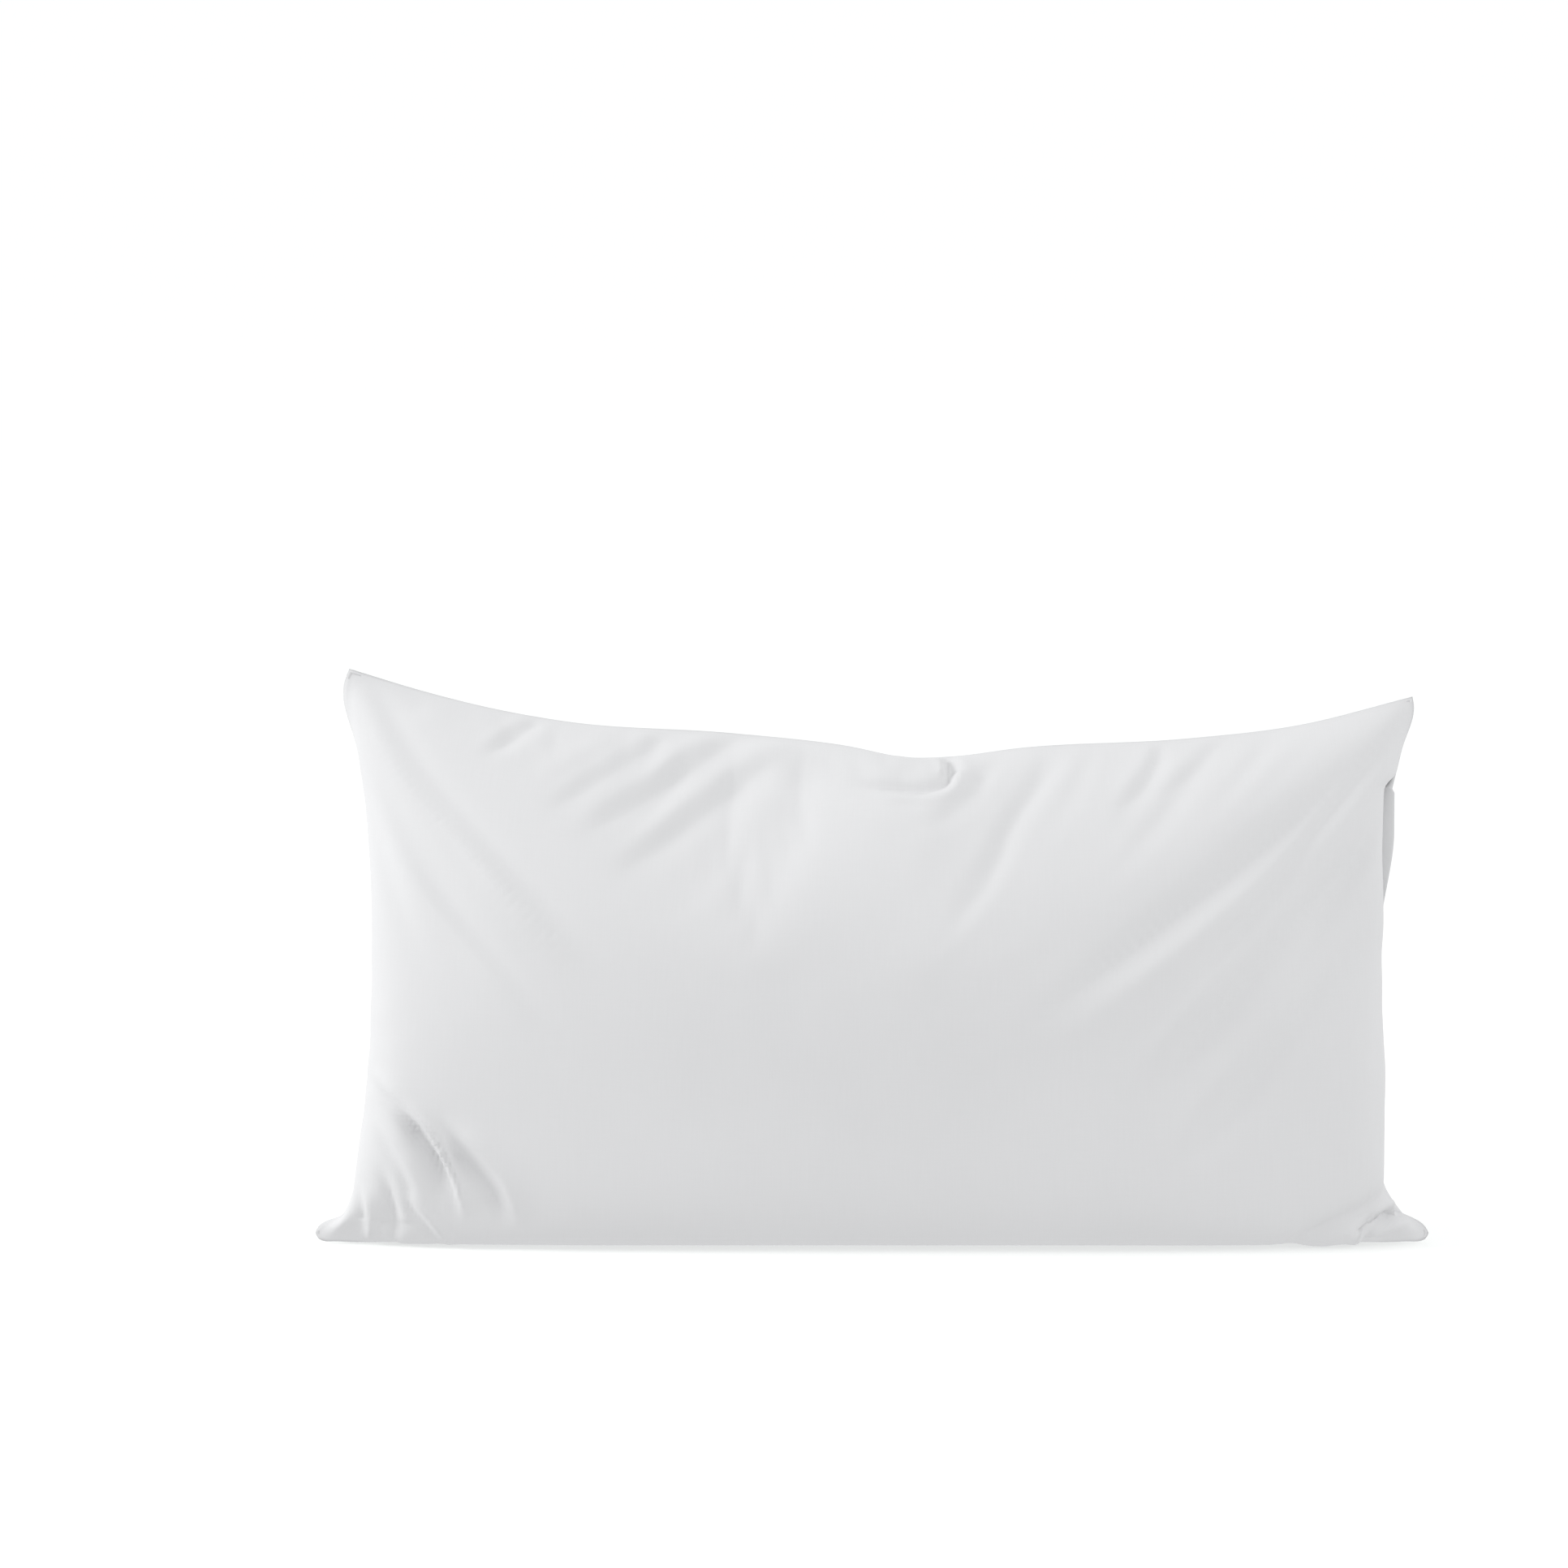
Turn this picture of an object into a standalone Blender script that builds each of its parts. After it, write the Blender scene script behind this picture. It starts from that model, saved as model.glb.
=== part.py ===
"""King-size bed pillow standing on its long edge: zipped cover, inner casing, filling and zip.

Frame: metres, +Z up. The pillow's length runs along X, its thickness along Y and its width along Z.
The front faces -Y, the zip closes the short edge at +X, and Z is 0 on the ground. X and Y are 0 at
the middle of the pillow's box.
"""
import bmesh
import bpy
from math import cos, exp, pi, sin

# Outline of the filled pillow
EAR_TIP_X = 0.451             # lower corners, lying on the ground
TOP_LEFT = (0.424, 0.470)     # reach from the middle and height of the upper corners
TOP_RIGHT = (0.434, 0.446)
TOP_MIDDLE_Z = 0.394          # the top seam dips between the corners
SIDE_LEFT_X = 0.400           # waist of the short edges
SIDE_RIGHT_X = 0.407
HOLLOW_LEFT = 2.6             # how late each short edge runs out to its upper corner
HOLLOW_RIGHT = 6.0
BLUNT_CORNER = 1.2            # extra loss of the inner layers' upper corners, per metre of inset
HALF_DEPTH = 0.098
BASE_SHARE = 0.60             # depth of the flat underside, as a share of the fullest depth
FULLEST = 0.36                # height of the fullest depth, as a share of the width
EAR_FALL = 0.020              # height over which an ear draws in to the side
TOP_SAG = 2.8                 # how flat the top seam stays before it rises to the corners
LENGTH_CROWN = (2.8, 0.58)    # how full the pillow stays towards its short edges, and how it closes
HEIGHT_CROWN = (2.2, 0.72)    # the same towards its top seam
UNDERSIDE_CROWN = 2.2         # how late the fullness draws in towards the ground

# Layers
COVER_CLOTH = 0.0008
CASING_CLOTH = 0.0006
RIM_GAP = 0.0018              # half the space between two panels at a seam
THREAD_RADIUS = 0.0005
THREAD_IN = 0.0005            # how far a stitch line lies inside the cut edge
THREAD_LIFT = 0.0002          # air under a thread that runs along the ground
THREAD_ENDS = 0.98            # share of a seam at which its thread stops short of the upper corner
THREAD_BASE_X = 0.40          # reach of the thread along the ground
THREAD_LEFT_LOW = 0.10        # share of the left seam at which its thread starts
THREAD_RIGHT_LOW = 0.045
THREAD_TO_MOUTH = 0.004
CASING_THREAD_IN = 0.0012
COVER_TO_CASING = 0.016       # how far the inner casing's edge stays inside the cover's
CASING_TO_FILLING = 0.008
LAYER_DEPTH = 0.004           # loss of half depth from one layer to the next
LAYER_LIFT = 0.004            # rise of the underside from one layer to the next

# Zip
ZIP_X = 0.3995                # outer face of the tapes
ZIP_LOW = 0.070
ZIP_HIGH = 0.370
MOUTH_HALF = 0.0068           # half the width of the cover's mouth over the zip
MOUTH_LOW = 0.036
MOUTH_HIGH = 0.392
MOUTH_EASE = 0.014            # length over which the mouth closes at its ends
TAPE_THICK = 0.0005
TAPE_INNER = 0.0010
TAPE_OUTER = 0.0055
TEETH_INNER = 0.0011
TEETH_OUTER = 0.0027
TEETH_HEIGHT = 0.0018
TEETH_LIFT = 0.0003           # air between the tapes and the teeth or stops
TAPE_PAST_TEETH = 0.012
STOP_LENGTH = 0.003
STOP_GAP = 0.0003
SLIDER_LENGTH = 0.010
SLIDER_WIDTH = 0.0076
SLIDER_PLATE = 0.0010
SLIDER_REST_Z = 0.0750
SLIDER_CLEAR = 0.0004
SLIDER_CORNER = 0.0015
POST_CLEAR = 0.0004           # air between the post and the tapes' inner edges
POST_START = 0.0005           # the post's lower end, from the slider's
POST_END = 0.004
MERGE = 0.0002                # depth by which joined shapes run into each other
PIN_X = 0.4050
PIN_RADIUS = 0.0005
BRIDGE_HALF = 0.0009
BRIDGE_INSET = 0.0015         # the bridge stops this far from each end of the slider
BRIDGE_OVER_PIN = 0.0013      # metal left over the pin
EYE_CLEAR = 0.0006
EYE_HALF_LENGTH = 0.0018
EYE_CUT_HALF = 0.003          # long enough to pass through the bridge
PULL_LENGTH = 0.020
PULL_WIDTH = 0.0058
PULL_THICK = 0.0010
PULL_WINDOW = 0.0072          # from the pin to the closed end of the pull's window
PULL_OVERLAP = 0.001
PULL_CLEAR = 0.0006
PIN_SIDES = 16

FLAP_X = 0.0040               # where the lip leaves the seam, from the tapes
FLAP_Y = 0.0046
FLAP_LOW = 0.012              # the lip's ends, from the ends of the teeth
FLAP_HIGH = 0.002
FLAP_REACH = 0.4090           # how far the lip stands out at its lower end
FLAP_TURNED = 0.0105          # how much further at its upper end
FLAP_TURN_LOW = 0.24          # height at which it starts to turn out
FLAP_TURN_HEIGHT = 0.10
FLAP_STEPS = 16

LABEL_X = 0.3935
LABEL_WIDE = 0.020
LABEL_TALL = 0.040
LABEL_LOW = 0.200

GRID_X = 24
GRID_Z = 11
GRID_BASE = 3

COTTON = ((0.83, 0.84, 0.86), 0.9, 0.0)
TICKING = ((0.80, 0.80, 0.79), 0.9, 0.0)
FIBRE = ((0.88, 0.88, 0.88), 1.0, 0.0)
THREAD = ((0.85, 0.85, 0.86), 0.7, 0.0)
NYLON = ((0.82, 0.82, 0.82), 0.45, 0.0)
METAL = ((0.72, 0.72, 0.74), 0.3, 1.0)
LABEL = ((0.86, 0.86, 0.85), 0.6, 0.0)

for old in list(bpy.data.objects):
    bpy.data.objects.remove(old, do_unlink=True)

parts = bpy.data.collections.new("bed_pillow")
cutters = bpy.data.collections.new("cutters")
for group in (parts, cutters):
    bpy.context.scene.collection.children.link(group)


def finish(obj, looks):
    """Name the material after the piece and give it its colour, roughness and metallic value."""
    colour, roughness, metallic = looks
    mat = bpy.data.materials.new(obj.name)
    mat.use_nodes = True
    shader = mat.node_tree.nodes["Principled BSDF"]
    shader.inputs["Base Color"].default_value = (*colour, 1)
    shader.inputs["Roughness"].default_value = roughness
    shader.inputs["Metallic"].default_value = metallic
    obj.data.materials.append(mat)


def place(name, data, group=parts):
    obj = bpy.data.objects.new(name, data)
    group.objects.link(obj)
    if group is cutters:
        obj.hide_render = True
        obj.display_type = "WIRE"
    return obj


def box(name, low, high, group=parts):
    """A box between two corners, with its origin at the world's."""
    bm = bmesh.new()
    bmesh.ops.create_cube(bm, size=1)
    for v in bm.verts:
        for i in range(3):
            v.co[i] = low[i] + (v.co[i] + 0.5) * (high[i] - low[i])
    mesh = bpy.data.meshes.new(name)
    bm.to_mesh(mesh)
    bm.free()
    return place(name, mesh, group)


def join(obj, other, operation="UNION"):
    tool = obj.modifiers.new(other.name, "BOOLEAN")
    tool.operation = operation
    tool.object = other


def side_reach(height, waist, corner, ear, hollow):
    """Distance of a short edge from the middle at a share (0 to 1) of the pillow's width.

    A larger hollow keeps the edge straight for longer before it runs out to the upper corner.
    """
    flare = (ear - waist) * exp(-(height * TOP_MIDDLE_Z / EAR_FALL) ** 2)
    return waist + (corner - waist) * height ** hollow + flare


def outline(u, t, inset):
    """Place in the X-Z plane of the share u (-1 to 1) of the length and t (0 to 1) of the width."""
    ear = EAR_TIP_X - 2.0 * inset
    blunt = BLUNT_CORNER * inset
    left = side_reach(t, SIDE_LEFT_X, TOP_LEFT[0] - blunt, ear, HOLLOW_LEFT) - inset
    right = side_reach(t, SIDE_RIGHT_X, TOP_RIGHT[0] - blunt, ear, HOLLOW_RIGHT) - inset
    corner = (TOP_LEFT[1] if u < 0 else TOP_RIGHT[1]) - blunt
    top = TOP_MIDDLE_Z + (corner - TOP_MIDDLE_Z) * abs(u) ** TOP_SAG - inset
    return (right - left) / 2 + u * (right + left) / 2, t * top


def crown(u, t):
    """Depth at a place, as a share of the fullest depth: full in the middle, nothing at the seams."""
    full, close = LENGTH_CROWN
    along = max(0.0, 1 - abs(u) ** full) ** close
    if t < FULLEST:
        lean = (FULLEST - t) / FULLEST
        return along * (1 - (1 - BASE_SHARE) * lean ** UNDERSIDE_CROWN)
    lean = (t - FULLEST) / (1 - FULLEST)
    full, close = HEIGHT_CROWN
    return along * max(0.0, 1 - lean ** full) ** close


def mouth(u, z):
    """Half the space between the panels' edges: wider along the zip, at the end of the length."""
    rise = min(1.0, max(0.0, (z - MOUTH_LOW) / MOUTH_EASE))
    fall = min(1.0, max(0.0, (MOUTH_HIGH - z) / MOUTH_EASE))
    if u < 0.999:
        return RIM_GAP
    return RIM_GAP + (MOUTH_HALF - RIM_GAP) * min(rise, fall)


def half_skin(name, layer, inset, rim):
    """Open front half of one layer: the face, and its turned-under underside on the ground.

    The rim keeps clear of the middle plane by rim(u, z).
    """
    depth = HALF_DEPTH - layer * LAYER_DEPTH
    lift = layer * LAYER_LIFT
    bm = bmesh.new()
    rows = GRID_Z + GRID_BASE
    bmesh.ops.create_grid(bm, x_segments=GRID_X, y_segments=rows, size=1)
    for v in bm.verts:
        u = sin(v.co.x * pi / 2)
        row = (v.co.y + 1) / 2 * rows
        if row > GRID_BASE:
            turn = (row - GRID_BASE) / GRID_Z * pi / 2
            t = (1 - cos(turn) + sin(turn)) / 2
            share = 1.0
        else:
            t = 0.0
            share = row / GRID_BASE
        x, z = outline(u, t, inset)
        gap = rim(u, z)
        y = gap + max(0.0, depth - gap) * crown(u, t) * share
        v.co = (x, -y, z + lift)
    mesh = bpy.data.meshes.new(name)
    bm.to_mesh(mesh)
    bm.free()
    mesh.shade_smooth()
    return place(name, mesh)


def panel_pair(prefix, layer, inset, rim, cloth, looks):
    """Front and back panel of one layer, each a thin cloth shell."""
    for side, turn in (("front", 1), ("back", -1)):
        panel = half_skin(f"{prefix}_{side}_panel", layer, inset, rim)
        bm = bmesh.new()
        bm.from_mesh(panel.data)
        if turn < 0:
            for v in bm.verts:
                v.co.y = -v.co.y
            bmesh.ops.reverse_faces(bm, faces=bm.faces)
        bm.to_mesh(panel.data)
        bm.free()
        shell = panel.modifiers.new("cloth", "SOLIDIFY")
        shell.thickness = cloth
        shell.offset = -1
        finish(panel, looks)


def filling():
    """Closed soft body inside the inner casing."""
    inset = COVER_TO_CASING + CASING_TO_FILLING
    half = half_skin("fibre_filling", 2, inset, lambda u, z: 0.0)
    twin = half.modifiers.new("back", "MIRROR")
    twin.use_axis = (False, True, False)
    twin.merge_threshold = 0.0001
    finish(half, FIBRE)


def thread(name, points, closed=False):
    """A row of stitches as one fine tube through the given points."""
    curve = bpy.data.curves.new(name, "CURVE")
    curve.dimensions = "3D"
    curve.bevel_depth = THREAD_RADIUS
    curve.bevel_resolution = 1
    curve.use_fill_caps = not closed
    spline = curve.splines.new("POLY")
    spline.points.add(len(points) - 1)
    for knot, (x, z) in zip(spline.points, points):
        knot.co = (x, 0, z, 1)
    spline.use_cyclic_u = closed
    finish(place(name, curve), THREAD)


def edge_line(start, end, inset, steps=12):
    """Points along the seam from one (u, t) place to another, drawn in from the cut edge."""
    line = []
    for i in range(steps + 1):
        share = i / steps
        u = start[0] + (end[0] - start[0]) * share
        t = start[1] + (end[1] - start[1]) * share
        line.append(outline(u, t, inset))
    return line


def cover_threads():
    """Stitch lines of the cover's four seams; the zip splits the one at +X in two."""
    ends = THREAD_ENDS
    ground = THREAD_RADIUS + THREAD_LIFT
    low_end = (MOUTH_LOW - THREAD_TO_MOUTH) / TOP_RIGHT[1]
    high_start = (MOUTH_HIGH + THREAD_TO_MOUTH) / TOP_RIGHT[1]
    thread("cover_seam_thread_top", edge_line((-ends, 1), (ends, 1), THREAD_IN, 24))
    thread("cover_seam_thread_bottom", [(x, ground) for x in (-THREAD_BASE_X, THREAD_BASE_X)])
    thread("cover_seam_thread_left", edge_line((-1, THREAD_LEFT_LOW), (-1, ends), THREAD_IN))
    thread("cover_seam_thread_right_upper", edge_line((1, high_start), (1, ends), THREAD_IN, 4))
    thread("cover_seam_thread_right_lower", edge_line((1, THREAD_RIGHT_LOW), (1, low_end), THREAD_IN, 3))


def casing_thread():
    """One closed stitch line round the inner casing, just inside its cut edge."""
    inset = COVER_TO_CASING + CASING_THREAD_IN
    corners = ((-1, 0), (1, 0), (1, 1), (-1, 1), (-1, 0))
    loop = []
    for start, end in zip(corners, corners[1:]):
        loop += edge_line(start, end, inset, 14)[:-1]
    lift = LAYER_LIFT + THREAD_RADIUS + THREAD_LIFT
    thread("inner_casing_seam_thread", [(x, z + lift) for x, z in loop], closed=True)


def zip_rows():
    """Tapes, coil rows and end stops of the zip, mirrored front to back."""
    under = ZIP_X + TEETH_LIFT
    over = under + TEETH_HEIGHT
    for side, sign in (("front", -1), ("back", 1)):
        inner, outer = sorted((sign * TAPE_INNER, sign * TAPE_OUTER))
        tape = box(f"zip_tape_{side}", (ZIP_X - TAPE_THICK, inner, ZIP_LOW - TAPE_PAST_TEETH),
                   (ZIP_X, outer, ZIP_HIGH + TAPE_PAST_TEETH))
        finish(tape, COTTON)
        inner, outer = sorted((sign * TEETH_INNER, sign * TEETH_OUTER))
        teeth = box(f"zip_teeth_{side}", (under, inner, ZIP_LOW), (over, outer, ZIP_HIGH))
        finish(teeth, NYLON)
    for name, low in (("zip_bottom_stop", ZIP_LOW - STOP_LENGTH - STOP_GAP),
                      ("zip_top_stop", ZIP_HIGH + STOP_GAP)):
        stop = box(name, (under, -TEETH_OUTER, low), (over, TEETH_OUTER, low + STOP_LENGTH))
        finish(stop, METAL)


def plate_blank(low, high):
    """The slider's outer plate, with its four upright corners rounded."""
    plate = box("zip_slider", low, high)
    bm = bmesh.new()
    bm.from_mesh(plate.data)
    upright = [e for e in bm.edges if abs(e.verts[0].co.x - e.verts[1].co.x) > SLIDER_PLATE / 2]
    bmesh.ops.bevel(bm, geom=upright, offset=SLIDER_CORNER, segments=3, affect="EDGES")
    bm.to_mesh(plate.data)
    bm.free()
    return plate


def slider():
    """Slider: two plates joined by a post between the teeth, with a bridge that holds the pull."""
    half = SLIDER_LENGTH / 2
    wide = SLIDER_WIDTH / 2
    low, high = SLIDER_REST_Z - half, SLIDER_REST_Z + half
    under = ZIP_X - TAPE_THICK - SLIDER_CLEAR
    over = ZIP_X + TEETH_LIFT + TEETH_HEIGHT + SLIDER_CLEAR
    top = over + SLIDER_PLATE
    body = plate_blank((over, -wide, low), (top, wide, high))
    join(body, box("slider_under", (under - SLIDER_PLATE, -wide, low), (under, wide, high), cutters))
    post = TAPE_INNER - POST_CLEAR
    join(body, box("slider_post", (under - MERGE, -post, low + POST_START),
                   (over + MERGE, post, low + POST_END), cutters))
    join(body, box("bridge_block", (top - MERGE, -BRIDGE_HALF, low + BRIDGE_INSET),
                   (PIN_X + PIN_RADIUS + BRIDGE_OVER_PIN, BRIDGE_HALF, high - BRIDGE_INSET), cutters))
    eye = PIN_RADIUS + EYE_CLEAR
    join(body, box("bridge_eye", (PIN_X - eye, -EYE_CUT_HALF, SLIDER_REST_Z - EYE_HALF_LENGTH),
                   (PIN_X + eye - MERGE, EYE_CUT_HALF, SLIDER_REST_Z + EYE_HALF_LENGTH), cutters),
         "DIFFERENCE")
    finish(body, METAL)


def pull_pin(length):
    """The pull's round pin, along Y."""
    bm = bmesh.new()
    bmesh.ops.create_cone(bm, cap_ends=True, segments=PIN_SIDES, radius1=PIN_RADIUS,
                          radius2=PIN_RADIUS, depth=length)
    for v in bm.verts:
        v.co = (v.co.x, v.co.z, -v.co.y)
    mesh = bpy.data.meshes.new("zip_pull_tab")
    bm.to_mesh(mesh)
    bm.free()
    return place("zip_pull_tab", mesh)


def pull_tab():
    """Pull tab hanging from a round pin under the slider's bridge; its origin is on the pin."""
    wide = PULL_WIDTH / 2
    thick = PULL_THICK / 2
    inner = BRIDGE_HALF + PULL_CLEAR
    arm_low = -PULL_WINDOW - PULL_OVERLAP
    tab = pull_pin(2 * wide)
    tab.location = (PIN_X, 0, SLIDER_REST_Z)
    for name, low, high in (
            ("pull_arm_front", (-thick, -wide, arm_low), (thick, -inner, MERGE)),
            ("pull_arm_back", (-thick, inner, arm_low), (thick, wide, MERGE)),
            ("pull_plate", (-thick, -wide, -PULL_LENGTH), (thick, wide, -PULL_WINDOW))):
        piece = box(name, low, high, cutters)
        piece.location = tab.location
        join(tab, piece)
    finish(tab, METAL)


def flap_reach(z):
    """How far the lip behind the zip stands out: more towards the upper end."""
    rise = min(1.0, max(0.0, (z - FLAP_TURN_LOW) / FLAP_TURN_HEIGHT))
    return FLAP_REACH + FLAP_TURNED * rise * rise * (3 - 2 * rise)


def zip_flap():
    """Flat lip of cloth standing out just behind the zip, as an outline with a thickness along Y."""
    low, high = ZIP_LOW + FLAP_LOW, ZIP_HIGH + FLAP_HIGH
    heights = [low + (high - low) * i / FLAP_STEPS for i in range(FLAP_STEPS + 1)]
    rim = [(ZIP_X + FLAP_X, low)]
    rim += [(flap_reach(z), z) for z in heights]
    rim += [(ZIP_X + FLAP_X, high)]
    curve = bpy.data.curves.new("zip_flap", "CURVE")
    curve.dimensions = "2D"
    curve.fill_mode = "BOTH"
    curve.extrude = COVER_CLOTH / 2
    spline = curve.splines.new("POLY")
    spline.points.add(len(rim) - 1)
    for knot, (x, z) in zip(spline.points, rim):
        knot.co = (x, z, 0, 1)
    spline.use_cyclic_u = True
    flap = place("zip_flap", curve)
    flap.rotation_euler = (pi / 2, 0, 0)
    flap.location = (0, FLAP_Y, 0)
    finish(flap, COTTON)


def care_label():
    """Blank label on the outside of the inner casing, on its edge beside the zip."""
    label = box("care_label", (LABEL_X, -LABEL_WIDE / 2, LABEL_LOW),
                (LABEL_X + CASING_CLOTH, LABEL_WIDE / 2, LABEL_LOW + LABEL_TALL))
    finish(label, LABEL)


panel_pair("cover", 0, 0.0, mouth, COVER_CLOTH, COTTON)
panel_pair("inner_casing", 1, COVER_TO_CASING, lambda u, z: RIM_GAP, CASING_CLOTH, TICKING)
filling()
cover_threads()
casing_thread()
zip_rows()
slider()
pull_tab()
zip_flap()
care_label()
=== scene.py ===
# %% [markdown]
# # A king-size bed pillow, stood on its long edge
# The part's frame (its pieces, sizes and joints) is already built. This lesson dresses it: a cotton
# cover that is cut flat, sewn, filled and let settle, the zip in its short edge, and the inner pillow.

# %% Load the frame
from math import cos, pi, radians, sin

import bpy
import numpy as np
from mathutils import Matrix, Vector
from mathutils.bvhtree import BVHTree


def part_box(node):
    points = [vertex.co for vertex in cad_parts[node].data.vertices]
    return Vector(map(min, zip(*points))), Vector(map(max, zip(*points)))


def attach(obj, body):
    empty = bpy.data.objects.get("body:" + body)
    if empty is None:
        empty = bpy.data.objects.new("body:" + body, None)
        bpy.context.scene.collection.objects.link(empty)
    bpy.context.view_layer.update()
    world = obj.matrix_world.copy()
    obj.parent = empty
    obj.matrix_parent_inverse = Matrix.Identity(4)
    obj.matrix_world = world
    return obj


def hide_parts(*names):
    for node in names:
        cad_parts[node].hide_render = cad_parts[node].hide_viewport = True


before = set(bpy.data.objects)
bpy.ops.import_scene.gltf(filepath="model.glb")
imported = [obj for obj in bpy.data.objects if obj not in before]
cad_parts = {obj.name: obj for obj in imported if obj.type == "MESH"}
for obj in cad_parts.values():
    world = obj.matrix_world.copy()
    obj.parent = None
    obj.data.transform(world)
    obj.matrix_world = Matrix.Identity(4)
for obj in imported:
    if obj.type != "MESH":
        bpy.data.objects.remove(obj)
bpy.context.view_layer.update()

# %% [markdown]
# ## Camera, floor and light
# A long lens far away keeps the outline of a soft, bulging thing free of perspective. White cloth
# needs light that is mostly even, with one broad soft lamp from the upper left to draw the folds.

# %% Camera, floor and light
VIEW_WIDTH = 1.26
CAMERA_FAR = 8.0
CAMERA_RISE = radians(6.0)
AIM = Vector((-0.071, 0.0, 0.373))
SKY_LEVEL = 0.875
SKY_RISE = 0.06
SKY_COLOUR = (0.990, 0.993, 1.0, 1)
FLOOR_SIZE = 400.0
FLOOR_COLOUR = (0.90, 0.915, 0.90, 1)
FLOOR_GLOW = 0.18


def make_camera():
    camera = bpy.data.objects.new("camera", bpy.data.cameras.new("camera"))
    bpy.context.scene.collection.objects.link(camera)
    back = Vector((0, -cos(CAMERA_RISE), sin(CAMERA_RISE)))
    camera.location = AIM + back * CAMERA_FAR
    camera.rotation_euler = (-back).to_track_quat("-Z", "Y").to_euler()
    camera.data.lens = camera.data.sensor_width * CAMERA_FAR / VIEW_WIDTH
    bpy.context.scene.camera = camera
    return camera


def make_lamp(name, place, size, power, target=(0, 0, 0.2)):
    """A square soft lamp that faces a target."""
    lamp = bpy.data.objects.new(name, bpy.data.lights.new(name, "AREA"))
    bpy.context.scene.collection.objects.link(lamp)
    lamp.data.size = size
    lamp.data.energy = power
    lamp.location = place
    lamp.rotation_euler = (Vector(target) - Vector(place)).to_track_quat("-Z", "Y").to_euler()
    return lamp


def make_sky():
    """White light all round, a little stronger from above; the backdrop itself is plain white."""
    world = bpy.data.worlds.new("studio")
    bpy.context.scene.world = world
    world.use_nodes = True
    tree = world.node_tree
    light = tree.nodes["Background"]
    light.inputs["Color"].default_value = SKY_COLOUR
    direction = tree.nodes.new("ShaderNodeTexCoord")
    height = tree.nodes.new("ShaderNodeSeparateXYZ")
    strength = tree.nodes.new("ShaderNodeMath")
    strength.operation = "MULTIPLY_ADD"
    strength.inputs[1].default_value = SKY_RISE
    strength.inputs[2].default_value = SKY_LEVEL
    tree.links.new(direction.outputs["Generated"], height.inputs[0])
    tree.links.new(height.outputs["Z"], strength.inputs[0])
    tree.links.new(strength.outputs[0], light.inputs["Strength"])
    seen = tree.nodes.new("ShaderNodeBackground")
    seen.inputs["Color"].default_value = (1, 1, 1, 1)
    path = tree.nodes.new("ShaderNodeLightPath")
    mix = tree.nodes.new("ShaderNodeMixShader")
    tree.links.new(path.outputs["Is Camera Ray"], mix.inputs[0])
    tree.links.new(light.outputs[0], mix.inputs[1])
    tree.links.new(seen.outputs[0], mix.inputs[2])
    tree.links.new(mix.outputs[0], tree.nodes["World Output"].inputs["Surface"])


def make_floor():
    bpy.ops.object.select_all(action="DESELECT")
    bpy.ops.mesh.primitive_plane_add(size=FLOOR_SIZE)
    floor = bpy.context.object
    floor.name = "floor"
    paper = bpy.data.materials.new("white_paper")
    paper.use_nodes = True
    looks = paper.node_tree.nodes["Principled BSDF"].inputs
    looks["Base Color"].default_value = FLOOR_COLOUR
    looks["Roughness"].default_value = 1.0
    looks["Emission Color"].default_value = (1, 1, 1, 1)
    looks["Emission Strength"].default_value = FLOOR_GLOW
    floor.data.materials.append(paper)
    floor.visible_diffuse = False
    floor.visible_shadow = False
    return floor


camera = make_camera()
make_sky()
floor = make_floor()
make_lamp("key", (-3.5, -0.6, 1.7), 1.2, 50)
make_lamp("fill", (3.4, -1.4, 1.7), 1.6, 13)
bpy.context.scene.view_settings.view_transform = "Standard"
print("lens", round(camera.data.lens), "mm at", CAMERA_FAR, "m")

# %% [markdown]
# ## A way to write shader maths
# A material is a net of small nodes. Wrapping one socket in a class lets a sum be written as a sum,
# and each operation adds its own Math node.


# %% The socket class
class Wire:
    """One output socket of a material, with arithmetic on it."""

    def __init__(self, tree, socket=None):
        self.tree = tree
        self.socket = socket

    def add(self, kind, settings=None, values=None, out=0):
        """Add a node: its settings first, then the value or link of each input."""
        node = self.tree.nodes.new(kind)
        for name, value in (settings or {}).items():
            setattr(node, name, value)
        for key, value in (values or {}).items():
            if isinstance(value, Wire):
                self.tree.links.new(value.socket, node.inputs[key])
            else:
                node.inputs[key].default_value = value
        return Wire(self.tree, node.outputs[out])

    def other(self, index):
        """Another output of the same node."""
        return Wire(self.tree, self.socket.node.outputs[index])

    def math(self, operation, *values):
        return self.add("ShaderNodeMath", {"operation": operation}, dict(enumerate(values)))

    def __add__(self, other):
        return self.math("ADD", self, other)

    __radd__ = __add__

    def __sub__(self, other):
        return self.math("SUBTRACT", self, other)

    def __rsub__(self, other):
        return self.math("SUBTRACT", other, self)

    def __mul__(self, other):
        return self.math("MULTIPLY", self, other)

    __rmul__ = __mul__

    def sine(self):
        return self.math("SINE", self)


def new_material(name, **constants):
    """A Principled material with its constant sockets set, and the wire to build on."""
    material = bpy.data.materials.new(name)
    material.use_nodes = True
    shader = material.node_tree.nodes["Principled BSDF"]
    for key, value in constants.items():
        shader.inputs[key.replace("_", " ")].default_value = value
    return material, Wire(material.node_tree), shader


def shaded(wire, colour, tone):
    """A colour made lighter or darker by a factor."""
    return wire.add("ShaderNodeVectorMath", {"operation": "SCALE"}, {0: colour, "Scale": tone})


def feed(wire, shader, socket):
    """Link a wire to one of the shader's sockets."""
    wire.tree.links.new(wire.socket, shader.inputs[socket])


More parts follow.
